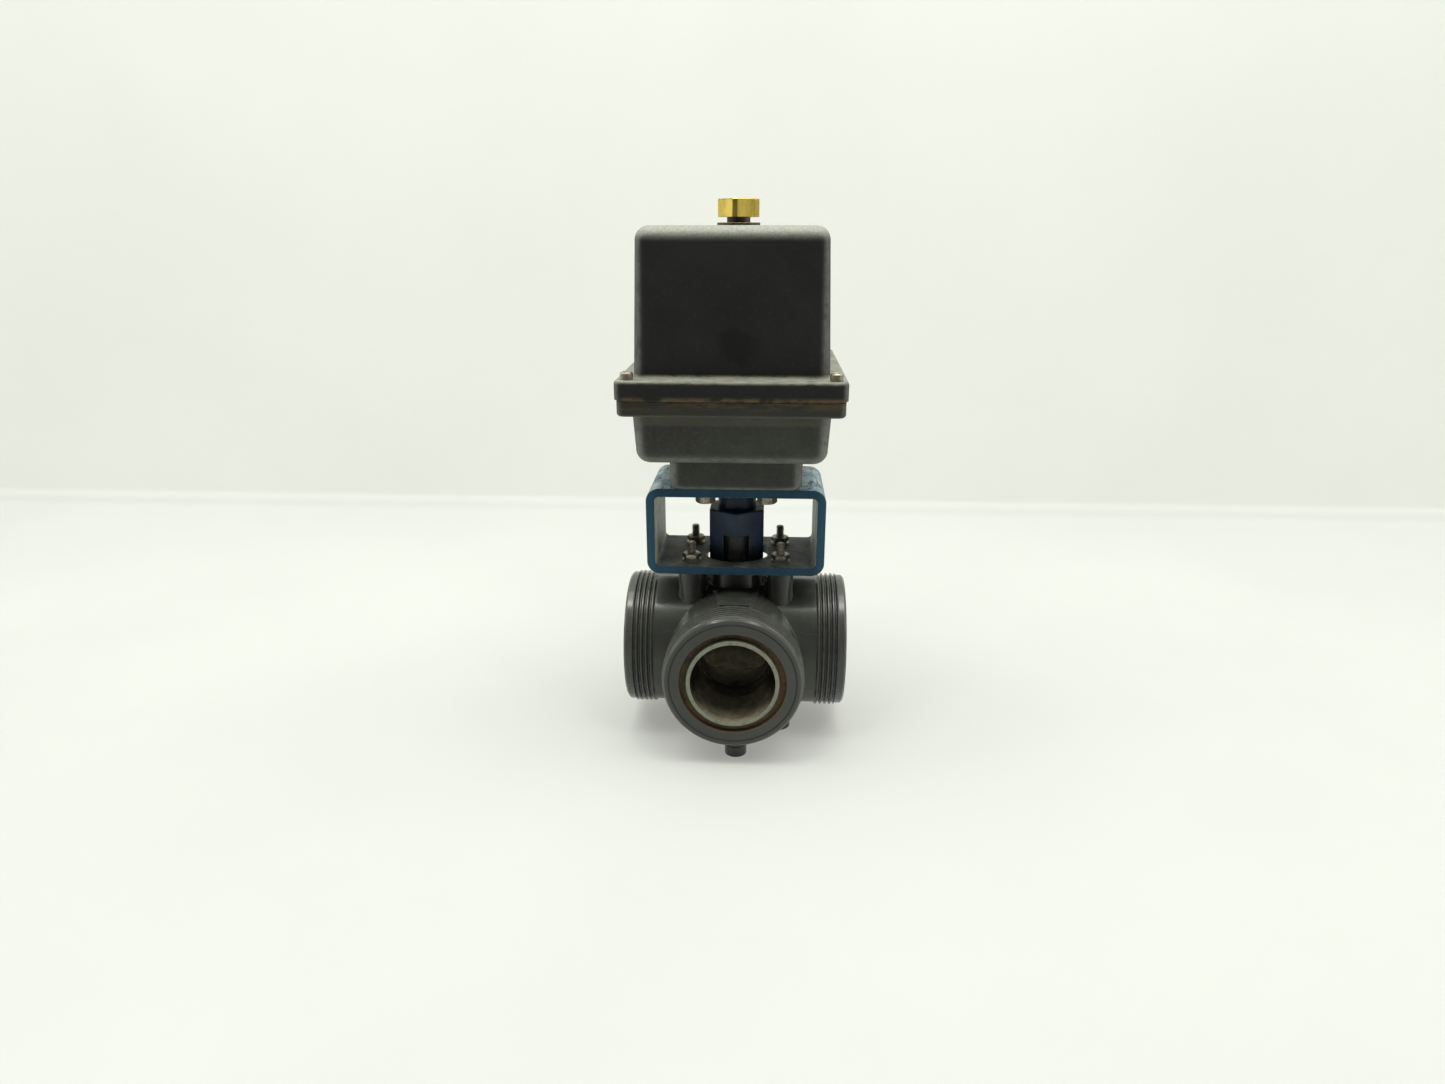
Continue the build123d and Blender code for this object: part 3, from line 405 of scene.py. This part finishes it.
def blue_coupling():
    """Dark navy paint, worn along the corners of the hexagon, with painted shadow darkening it towards its
    foot.
    """
    s = Shader("blue_coupling", Specular_IOR_Level=0.30)
    height = s.axis(s.place, 2)
    paint = s.mix(s.span(s.noise(50, 4), 0.3, 0.7), (0.013, 0.026, 0.058), (0.022, 0.044, 0.092))
    # painted shadow: the coupling darkens towards its foot, where the bottom plate's shadow falls
    foot = s.span(height, COUPLING_FOOT + 0.014, COUPLING_FOOT + 0.002)
    paint = s.mix(s.maths("MULTIPLY", foot, 0.75), paint, (0.008, 0.009, 0.011))
    collar_foot = COUPLING_FOOT + COLLAR_RISE
    collar = s.span(height, collar_foot, collar_foot + 0.001)
    paint = s.mix(s.maths("MULTIPLY", collar, 0.6), paint, (0.006, 0.010, 0.022))
    edge = s.maths("MULTIPLY", s.edge_mask(0.0009, 0.01, 0.12), s.span(s.noise(200, 5, 0.7), 0.42, 0.6))
    colour = s.mix(s.maths("MULTIPLY", edge, 0.6), paint, (0.07, 0.09, 0.14))
    rough = s.span(s.noise(90, 5), 0.3, 0.7, 0.36, 0.5)
    normal = s.bump(s.noise(300, 3), 0.2, 0.0004, s.rounded(0.0008))
    return s.finish(colour, rough, None, normal)


def port_stain(s, colour):
    """Rings on the three port faces, with painted shade in the rusty ring's upper left and painted
    highlights on the outer ridges, and the brown wash inside the bores, darkened as painted shade and lit
    at the bottom with painted light; also returns the rusty ring.
    """
    x, y, z = (s.axis(s.place, index) for index in range(3))
    rise = s.maths("SUBTRACT", z, PORT_Z)
    face = BARREL_END - 0.004
    at_front = s.maths("LESS_THAN", y, -face)
    at_side = s.maths("GREATER_THAN", s.maths("ABSOLUTE", x), face)
    across = s.blend(at_front, y, x)
    radius = s.distance(across, rise)
    ends = s.maths("MAXIMUM", at_front, at_side)
    mottle = s.noise(150, 6, 0.8)
    fine = s.noise(420, 4, 0.75)
    # the rust in the ring is left darkest at the upper left, which is painted shade in the groove; the
    # more orange right side and the yellowish bottom are the rust's own colour
    rust = s.mix(s.span(mottle, 0.36, 0.64), (0.030, 0.022, 0.013), (0.130, 0.085, 0.038))
    right = s.span(across, 0.006, 0.024)
    rust = s.mix(s.maths("MULTIPLY", right, s.span(fine, 0.35, 0.6)), rust, (0.155, 0.088, 0.034))
    low_part = s.span(rise, -0.012, -0.026)
    rust = s.mix(s.maths("MULTIPLY", low_part, 0.6), rust, (0.165, 0.135, 0.072))
    stained = s.maths("MULTIPLY", s.band(radius, *STAINED_RING, 0.0004), ends)
    colour = s.mix(s.maths("MULTIPLY", stained, s.span(mottle, 0.2, 0.55, 0.6, 1.0)), colour, rust)
    pale = s.maths("MULTIPLY", s.band(radius, *PALE_RING, 0.0002), ends)
    pale = s.maths("MULTIPLY", pale, s.span(fine, 0.25, 0.6, 0.45, 1.0))
    colour = s.mix(pale, colour, (0.30, 0.315, 0.235))
    # painted highlights: fine lighter rings on the face's outer ring, standing in for light catching its
    # fine ridges
    ridge_highlight_wave = s.maths("SINE", s.maths("MULTIPLY", radius, RIDGE_HIGHLIGHTS_PER_METRE))
    outer = s.maths("MULTIPLY", s.band(radius, *TURNED_FACE, 0.0002), ends)
    lines = s.maths("MULTIPLY", outer, s.span(ridge_highlight_wave, 0.2, 0.9))
    colour = s.mix(s.maths("MULTIPLY", lines, 0.35), colour, (0.095, 0.098, 0.085))
    seam = s.maths("MULTIPLY", s.band(radius, *CARRIER_SEAM, 0.0003), ends)
    colour = s.mix(s.maths("MULTIPLY", seam, 0.9), colour, (0.006, 0.006, 0.005))
    brown_line = s.maths("MULTIPLY", s.band(radius, *BROWN_LINE, 0.0003), ends)
    colour = s.mix(s.maths("MULTIPLY", brown_line, 0.7), colour, (0.095, 0.060, 0.030))
    behind = s.maths("GREATER_THAN", y, REAR_BULGE_Y)
    off_front_axis = s.maths("ADD", s.distance(x, rise), behind)
    off_side_axis = s.distance(y, rise)
    bore = s.maths("LESS_THAN", s.maths("MINIMUM", off_front_axis, off_side_axis), BORE_R)
    # inside the bores: a dark brown rust wash kept very dark as painted shade, lighter on the lower wall
    # as painted light where light falls in
    wash = s.mix(s.span(mottle, 0.35, 0.65), (0.013, 0.010, 0.006), (0.030, 0.024, 0.015))
    painted_bore_floor_light = s.mix(s.span(mottle, 0.35, 0.65), (0.15, 0.125, 0.085), (0.27, 0.235, 0.165))
    wash = s.mix(s.span(rise, -0.006, -0.020), wash, painted_bore_floor_light)
    return s.mix(s.maths("MULTIPLY", bore, 0.85), colour, wash), stained


def grey_pvc():
    """Moulded dark grey plastic with fine scratches, dust, rubbed edges and stained port faces, and
    painted shade on the surfaces that face forward.
    """
    s = Shader("grey_pvc", IOR=1.52)
    base = s.mix(s.span(s.noise(16, 5, 0.6), 0.3, 0.7), (0.037, 0.039, 0.035), (0.057, 0.060, 0.053))
    facing_up = s.span(s.axis(s.normal, 2), 0.2, 0.95)
    dust = s.maths("MULTIPLY", facing_up, s.span(s.noise(70, 5, 0.7), 0.35, 0.7))
    base = s.mix(s.maths("MULTIPLY", dust, 0.25), base, (0.12, 0.12, 0.105))
    scratch = s.span(s.noise(120, 6, 0.8, 2.5, stretch=(0.3, 1, 2)), 0.60, 0.64)
    base = s.mix(s.maths("MULTIPLY", scratch, 0.3), base, (0.11, 0.11, 0.10))
    edge = s.maths("MULTIPLY", s.edge_mask(0.0008, 0.01, 0.12), s.span(s.noise(240, 4, 0.7), 0.35, 0.6))
    base = s.mix(s.maths("MULTIPLY", edge, 0.55), base, (0.15, 0.15, 0.135))
    colour, stained = port_stain(s, base)
    rough = s.span(s.noise(40, 5, 0.6), 0.3, 0.7, 0.15, 0.26)
    # painted shade: forward-facing surfaces are painted a little darker, as the light falls from above;
    # they are also made rougher
    face = s.span(s.axis(s.normal, 1), -0.85, -0.97)
    rough = s.blend(face, rough, 0.46)
    colour = s.mix(s.maths("MULTIPLY", face, 0.15), colour, (0.012, 0.012, 0.010))
    rough = s.blend(stained, rough, 0.72)
    normal = s.bump(s.noise(500, 3), 0.06, 0.0003, s.rounded(0.0005))
    normal = s.bump(s.noise(28, 3), 0.12, 0.0005, normal)
    return s.finish(colour, rough, None, normal)


def metal(name, colour_a, colour_b, rough_a, rough_b, rust=0.0):
    """Plated or machined metal with mottled tarnish and painted highlights along its edges; rust adds
    brown bloom.
    """
    s = Shader(name)
    mottled = s.mix(s.span(s.noise(160, 5, 0.65), 0.3, 0.7), colour_a, colour_b)
    edge = s.edge_mask(0.0005, 0.01, 0.12)
    # painted highlight: every edge is lightened towards a brighter tint of the metal
    edge_highlight_tint = tuple(min(1.0, 1.5 * c) for c in colour_b)
    mottled = s.mix(s.maths("MULTIPLY", edge, 0.4), mottled, edge_highlight_tint)
    rough = s.span(s.noise(300, 4), 0.3, 0.7, rough_a, rough_b)
    metalness = 1.0
    if rust:
        bloom = s.maths("MULTIPLY", s.span(s.noise(210, 6, 0.75), 0.46, 0.64), rust)
        mottled = s.mix(bloom, mottled, (0.105, 0.066, 0.034))
        rough = s.blend(bloom, rough, 0.75)
        metalness = s.blend(bloom, 1.0, 0.1)
    normal = s.bump(s.noise(600.0, 3), 0.15, 0.0002, s.rounded(0.0003))
    return s.finish(mottled, rough, metalness, normal)


def brass():
    """Tarnished brass with brown lines along its edges and chamfers."""
    s = Shader("brass")
    streaks = s.noise(90, 5, 0.65, stretch=(1, 1, 0.25))
    colour = s.mix(s.span(streaks, 0.3, 0.7), (0.50, 0.37, 0.065), (0.72, 0.55, 0.12))
    spots = s.span(s.noise(420, 4, 0.7), 0.54, 0.7)
    colour = s.mix(s.maths("MULTIPLY", spots, 0.5), colour, (0.26, 0.16, 0.035))
    edge = s.maths("MULTIPLY", s.edge_mask(0.0007, 0.01, 0.10), s.span(s.noise(330, 4, 0.7), 0.30, 0.55))
    colour = s.mix(s.maths("MULTIPLY", edge, 0.85), colour, (0.14, 0.075, 0.016))
    rough = s.span(streaks, 0.3, 0.7, 0.24, 0.36)
    normal = s.bump(s.noise(500, 3, stretch=(1, 1, 0.2)), 0.15, 0.0002, s.rounded(0.0002))
    return s.finish(colour, rough, 0.9, normal)


def plastic(name, colour_a, colour_b, rough=0.45, fine=700.0):
    """Moulded plastic, rubber or fluoropolymer with slight mottling and lighter edges that are a painted
    edge highlight.
    """
    s = Shader(name)
    colour = s.mix(s.span(s.noise(120, 4), 0.3, 0.7), colour_a, colour_b)
    edge = s.edge_mask(0.0005, 0.01, 0.12)
    # painted highlight: every edge is lightened towards a lighter tint
    edge_highlight_pale = tuple(min(1.0, 2.0 * c + 0.02) for c in colour_b)
    colour = s.mix(s.maths("MULTIPLY", edge, 0.3), colour, edge_highlight_pale)
    roughness = s.span(s.noise(200, 4), 0.3, 0.7, rough - 0.07, rough + 0.08)
    normal = s.bump(s.noise(fine, 3), 0.1, 0.0002, s.rounded(0.0003))
    return s.finish(colour, roughness, None, normal)


MATERIALS = {
    "grey_pvc": grey_pvc(),
    "ptfe": plastic("ptfe", (0.085, 0.062, 0.040), (0.16, 0.12, 0.080), 0.5),
    "black_rubber": plastic("black_rubber", (0.012, 0.012, 0.012), (0.022, 0.022, 0.022), 0.6),
    "gasket_rubber": plastic("gasket_rubber", (0.060, 0.036, 0.016), (0.21, 0.155, 0.080), 0.75, 300.0),
    "blue_paint": blue_paint(),
    "blue_coupling": blue_coupling(),
    "cover_paint": cover_paint(),
    "cast_housing": cast_housing(),
    "zinc_steel": metal("zinc_steel", (0.20, 0.19, 0.16), (0.46, 0.43, 0.36), 0.30, 0.48, rust=0.45),
    "rusty_steel": metal("rusty_steel", (0.26, 0.23, 0.18), (0.45, 0.41, 0.33), 0.34, 0.52, rust=0.7),
    "dark_steel": metal("dark_steel", (0.045, 0.034, 0.026), (0.12, 0.092, 0.075), 0.38, 0.56, rust=0.5),
    "gear_steel": metal("gear_steel", (0.28, 0.28, 0.29), (0.42, 0.42, 0.43), 0.26, 0.38),
    "bronze": metal("bronze", (0.30, 0.17, 0.07), (0.48, 0.30, 0.14), 0.3, 0.45),
    "brass": brass(),
    "black_plastic": plastic("black_plastic", (0.014, 0.014, 0.014), (0.026, 0.026, 0.026)),
    "red_plastic": plastic("red_plastic", (0.28, 0.02, 0.015), (0.38, 0.035, 0.025)),
}


def dress_nodes():
    """Give every CAD node the material of its slot."""
    for entry in frame["record"]["subparts"]:
        node = NODES[entry["node"]]
        node.data.materials.clear()
        node.data.materials.append(MATERIALS[entry["material_slot"]])


# ---------------------------------------------------------------- fasteners in more detail

def vertex_rings(bm, rows, at, sides):
    """Rings of vertices round a vertical axis; a row is (radius, height) or gives it for an angle."""
    rings = []
    for row in rows:
        ring = []
        for step in range(sides):
            angle = 2 * math.pi * step / sides
            radius, height = row(angle) if callable(row) else row
            x = at.x + radius * math.cos(angle)
            y = at.y + radius * math.sin(angle)
            ring.append(bm.verts.new((x, y, height)))
        rings.append(ring)
    return rings


def turned(name, slot_name, rows, at, body):
    """Shape built of rows round a vertical axis, each joined to the next."""
    bm = bmesh.new()
    rings = vertex_rings(bm, rows, at, TURNED_SIDES)
    for lower, upper in zip(rings, rings[1:]):
        for step in range(TURNED_SIDES):
            following = (step + 1) % TURNED_SIDES
            bm.faces.new((lower[step], lower[following], upper[following], upper[step]))
    bmesh.ops.remove_doubles(bm, verts=bm.verts, dist=1e-6)
    bmesh.ops.recalc_face_normals(bm, faces=bm.faces)
    return add_piece(name, slot_name, bm, body)


def add_piece(name, slot_name, bm, body):
    """Turn a bmesh into a shown object that rides a body and wears a slot's material."""
    mesh = bpy.data.meshes.new(name)
    bm.to_mesh(mesh)
    bm.free()
    mesh.materials.append(MATERIALS[slot_name])
    for face in mesh.polygons:
        face.use_smooth = True
    mesh.set_sharp_from_angle(angle=math.radians(32))
    piece = bpy.data.objects.new(name, mesh)
    bpy.context.scene.collection.objects.link(piece)
    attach(piece, body)
    return piece


def hex_radius(flats, angle):
    """Distance from the centre to a hexagon's outline, with a corner at angle 0."""
    sector = (angle % (math.pi / 3)) - math.pi / 6
    return flats / 2 / math.cos(sector)


def hex_row(flats, height, slope=0.0):
    """Row along a hexagon's outline; a slope moves it up or down, most at the corners."""
    def place(angle):
        radius = hex_radius(flats, angle)
        return radius, height + slope * (radius - HEX_CROWN * flats)

    return place


def hex_rows(flats, low, high):
    """Rows of a hexagon whose corners are cut back by a 30 degree chamfer at both ends."""
    slope = math.tan(math.radians(30))
    crown = HEX_CROWN * flats
    return [(crown, low), hex_row(flats, low, slope), hex_row(flats, high, -slope), (crown, high)]


def thread_rows(crest, pitch, low, high):
    """Rows of a helical thread with chamfered ends; the sides join one pitch further up."""
    root = crest - THREAD_DEPTH * pitch

    def row(index):
        def place(angle):
            height = low + pitch * (index / 2 + angle / (2 * math.pi) - 1)
            radius = crest if index % 2 else root
            end = min(height - low, high - height)
            return min(radius, max(0.0, crest - THREAD_CHAMFER + end)), min(high, max(low, height))
        return place

    return [row(index) for index in range(2 * math.ceil((high - low) / pitch) + 5)]


def join_thread(bm, rings):
    """Faces of a helical thread: two rows make one turn, so a turn's end meets two rows further up."""
    last = STUD_SIDES - 1
    for number in range(len(rings) - 3):
        lower, upper = rings[number], rings[number + 1]
        for step in range(last):
            bm.faces.new((lower[step], lower[step + 1], upper[step + 1], upper[step]))
        bm.faces.new((lower[last], rings[number + 2][0], rings[number + 3][0], upper[last]))


def lower_studs():
    """Threaded studs standing up through the bracket's lower plate."""
    for index, (low, high) in enumerate(islands("lower_studs")):
        at = (low + high) / 2
        crest = (high.x - low.x) / 2
        bm = bmesh.new()
        join_thread(bm, vertex_rings(bm, thread_rows(crest, STUD_PITCH, low.z, high.z), at, STUD_SIDES))
        rim = crest - THREAD_CHAMFER
        for cap in vertex_rings(bm, [(rim, low.z), (rim, high.z)], at, STUD_SIDES):
            bm.faces.new(cap)
        bmesh.ops.recalc_face_normals(bm, faces=bm.faces)
        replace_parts(add_piece(f"stud_{index + 1}", "zinc_steel", bm, "frame"), "lower_studs")


def lower_nuts():
    """Chamfered hexagon nuts with a countersunk bore."""
    for index, (low, high) in enumerate(islands("lower_nuts")):
        at = (low + high) / 2
        foot = (NUT_BORE, low.z + COUNTERSINK / 2)
        rows = [foot, *hex_rows(high.y - low.y, low.z, high.z)]
        rows += [(NUT_BORE + COUNTERSINK, high.z), (NUT_BORE, high.z - COUNTERSINK), foot]
        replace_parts(turned(f"nut_{index + 1}", "zinc_steel", rows, at, "frame"), "lower_nuts")


def split_washers(node, prefix, bore):
    """Spring washers with a slanted cut, open by a few degrees and turned differently on each."""
    for index, (low, high) in enumerate(islands(node)):
        at = (low + high) / 2
        outer = (high.x - low.x) / 2
        profile = ((bore, low.z), (outer, low.z), (outer, high.z), (bore, high.z))
        bm = bmesh.new()
        start = WASHER_START + WASHER_TURN * index
        sections = []
        for step in range(WASHER_STEPS + 1):
            section = []
            for radius, height in profile:
                lean = WASHER_LEAN * (height - low.z) / (high.z - low.z)
                angle = start + lean + WASHER_ARC * step / WASHER_STEPS
                x = at.x + radius * math.cos(angle)
                y = at.y + radius * math.sin(angle)
                section.append(bm.verts.new((x, y, height)))
            sections.append(section)
        for first, second in zip(sections, sections[1:]):
            for corner in range(4):
                following = (corner + 1) % 4
                bm.faces.new((first[corner], first[following], second[following], second[corner]))
        bm.faces.new(sections[0])
        bm.faces.new(sections[-1])
        bmesh.ops.recalc_face_normals(bm, faces=bm.faces)
        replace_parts(add_piece(f"{prefix}_{index + 1}", "zinc_steel", bm, "frame"), node)


def upper_bolts():
    """Hexagon bolt heads hanging under the bracket's upper plate, shank up into the casting."""
    seat = BRACKET_HIGH.z - BRACKET_WALL - LOCK_WASHER
    for index, (low, high) in enumerate(islands("upper_bolts")):
        at = (low + high) / 2
        flats = high.y - low.y
        dished = low.z + BOLT_DISH
        rows = [(0.0, dished), (BOLT_DISH_R, dished), (BOLT_DISH_R + BOLT_DISH, low.z)]
        rows.append((HEX_CROWN * flats, low.z))
        rows += [hex_row(flats, low.z, BOLT_CHAMFER_SLOPE), hex_row(flats, seat)]
        rows += [(BOLT_SHANK_R, seat), (BOLT_SHANK_R, high.z), (0.0, high.z)]
        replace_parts(turned(f"bolt_{index + 1}", "rusty_steel", rows, at, "frame"), "upper_bolts")


def cover_screws():
    """Domed cover screws with a hexagon recess, standing on the cover's flange."""
    for index, (low, high) in enumerate(islands("cover_screws")):
        at = (low + high) / 2
        outer = (high.x - low.x) / 2
        seat = high.z - SCREW_HEAD
        rows = [(0.0, low.z), (SCREW_SHANK_R, low.z), (SCREW_SHANK_R, seat)]
        rows += [(outer - SCREW_BREAK, seat), (outer, seat + SCREW_BREAK)]
        for step in range(SCREW_ROUND_STEPS + 1):
            turn = math.pi / 2 * step / SCREW_ROUND_STEPS
            rows.append((outer - SCREW_ROUND + SCREW_ROUND * math.cos(turn),
                         high.z - SCREW_ROUND + SCREW_ROUND * math.sin(turn)))
        recess_z = high.z - SCREW_RECESS_DEPTH
        rows += [(SCREW_RECESS_MOUTH, high.z), hex_row(SCREW_RECESS_FLATS, high.z - 0.0003),
                 hex_row(SCREW_RECESS_FLATS, recess_z), (0.0, recess_z - 0.0006)]
        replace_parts(turned(f"cover_screw_{index + 1}", "rusty_steel", rows, at, "frame"), "cover_screws")


# ---------------------------------------------------------------- stage, light and camera

LIGHT_COLOUR = (0.985, 1.0, 0.925)
EYE = (0.01713, -0.52791, 0.29166)
LOOK_DOWN = 0.3255
LOOK_LEFT = 0.049
LENS = 23.06


def stage():
    """Pale, faintly glowing floor bent up into a backdrop close behind; the room in front is dark."""
    half_width, front, back, lift, bend = 3.0, -3.0, 0.43, 1.3, 0.015
    profile = [(front, 0.0)]
    steps = 16
    for step in range(steps + 1):
        turn = math.pi / 2 * step / steps
        profile.append((back + bend * math.sin(turn), bend * (1 - math.cos(turn))))
    profile.append((back + bend, lift))
    bm = bmesh.new()
    rows = [[bm.verts.new((x, y, z)) for y, z in profile] for x in (-half_width, half_width)]
    for index in range(len(profile) - 1):
        bm.faces.new((rows[0][index], rows[1][index], rows[1][index + 1], rows[0][index + 1]))
    mesh = bpy.data.meshes.new("backdrop")
    bm.to_mesh(mesh)
    bm.free()
    for face in mesh.polygons:
        face.use_smooth = True
    backdrop = bpy.data.objects.new("backdrop", mesh)
    bpy.context.scene.collection.objects.link(backdrop)
    s = Shader("pale_floor")
    cloud = s.span(s.noise(3.0, 4), 0.3, 0.7)
    floor = s.mix(cloud, (0.318, 0.325, 0.319), (0.338, 0.346, 0.340))
    wall = s.mix(cloud, (0.565, 0.571, 0.548), (0.594, 0.601, 0.576))
    colour = s.mix(s.span(s.axis(s.place, 2), 0.002, 0.014), floor, wall)
    near = s.span(s.axis(s.place, 1), -0.50, -1.10)
    colour = s.mix(near, colour, (0.16, 0.16, 0.15))
    glow = s.mix(near, (1.0, 1.01, 0.93), (0.0, 0.0, 0.0))
    s.link(glow, s.bsdf.inputs["Emission Color"])
    s.bsdf.inputs["Emission Strength"].default_value = 0.27
    mesh.materials.append(s.finish(colour, 0.7))


def area_light(name, place, target, size, power):
    """Rectangular light at a place, aimed at a target."""
    lamp = bpy.data.lights.new(name, "AREA")
    lamp.shape = "RECTANGLE"
    lamp.size, lamp.size_y = size
    lamp.energy = power
    lamp.color = LIGHT_COLOUR
    obj = bpy.data.objects.new(name, lamp)
    obj.location = place
    obj.rotation_euler = (Vector(target) - Vector(place)).to_track_quat("-Z", "Y").to_euler()
    bpy.context.scene.collection.objects.link(obj)


def room():
    """Surroundings that are pale above, behind and beside the object and dark in front of it."""
    world = bpy.data.worlds.new("studio")
    world.use_nodes = True
    bpy.context.scene.world = world
    nodes, links = world.node_tree.nodes, world.node_tree.links
    coords = nodes.new("ShaderNodeTexCoord")
    split = nodes.new("ShaderNodeSeparateXYZ")
    links.new(coords.outputs["Generated"], split.inputs[0])
    fade = nodes.new("ShaderNodeMapRange")
    fade.interpolation_type = "SMOOTHSTEP"
    limits = (("From Min", -0.75), ("From Max", -0.1), ("To Min", 0.05), ("To Max", 0.62))
    for socket, number in limits:
        fade.inputs[socket].default_value = number
    links.new(split.outputs[1], fade.inputs["Value"])
    background = nodes["Background"]
    background.inputs[0].default_value = (0.985, 1.0, 0.905, 1.0)
    links.new(fade.outputs["Result"], background.inputs[1])


def lighting():
    """A soft panel overhead, one at each side, and two narrow tubes high up in front."""
    room()
    middle = (0, 0, 0.15)
    area_light("overhead", (0, 0.0, 1.6), (0, 0.05, 0), (2.6, 0.9), 30)
    for side in (-1, 1):
        area_light(f"side_panel_{side + 1}", (1.5 * side, 0.1, 0.8), middle, (1.0, 1.4), 6)
        area_light(f"tube_{side + 1}", (0.35 * side, -0.35, 1.7), middle, (0.05, 1.2), 7)
    bpy.context.scene.view_settings.view_transform = "Standard"
    bpy.context.scene.view_settings.exposure = 0.0


def camera():
    """Eye level with the top of the actuator, half a metre in front of the stem, looking down."""
    data = bpy.data.cameras.new("camera")
    data.sensor_fit = "HORIZONTAL"
    data.sensor_width = 36.0
    data.lens = LENS
    data.clip_start = 0.01
    eye = bpy.data.objects.new("camera", data)
    eye.location = EYE
    eye.rotation_euler = (math.pi / 2 - LOOK_DOWN, 0.0, LOOK_LEFT)
    bpy.context.scene.collection.objects.link(eye)
    bpy.context.scene.camera = eye


dress_nodes()
lower_studs()
lower_nuts()
split_washers("lower_lock_washers", "stud_lock_washer", 0.0026)
split_washers("upper_lock_washers", "bolt_lock_washer", 0.0031)
upper_bolts()
cover_screws()
stage()
lighting()
camera()
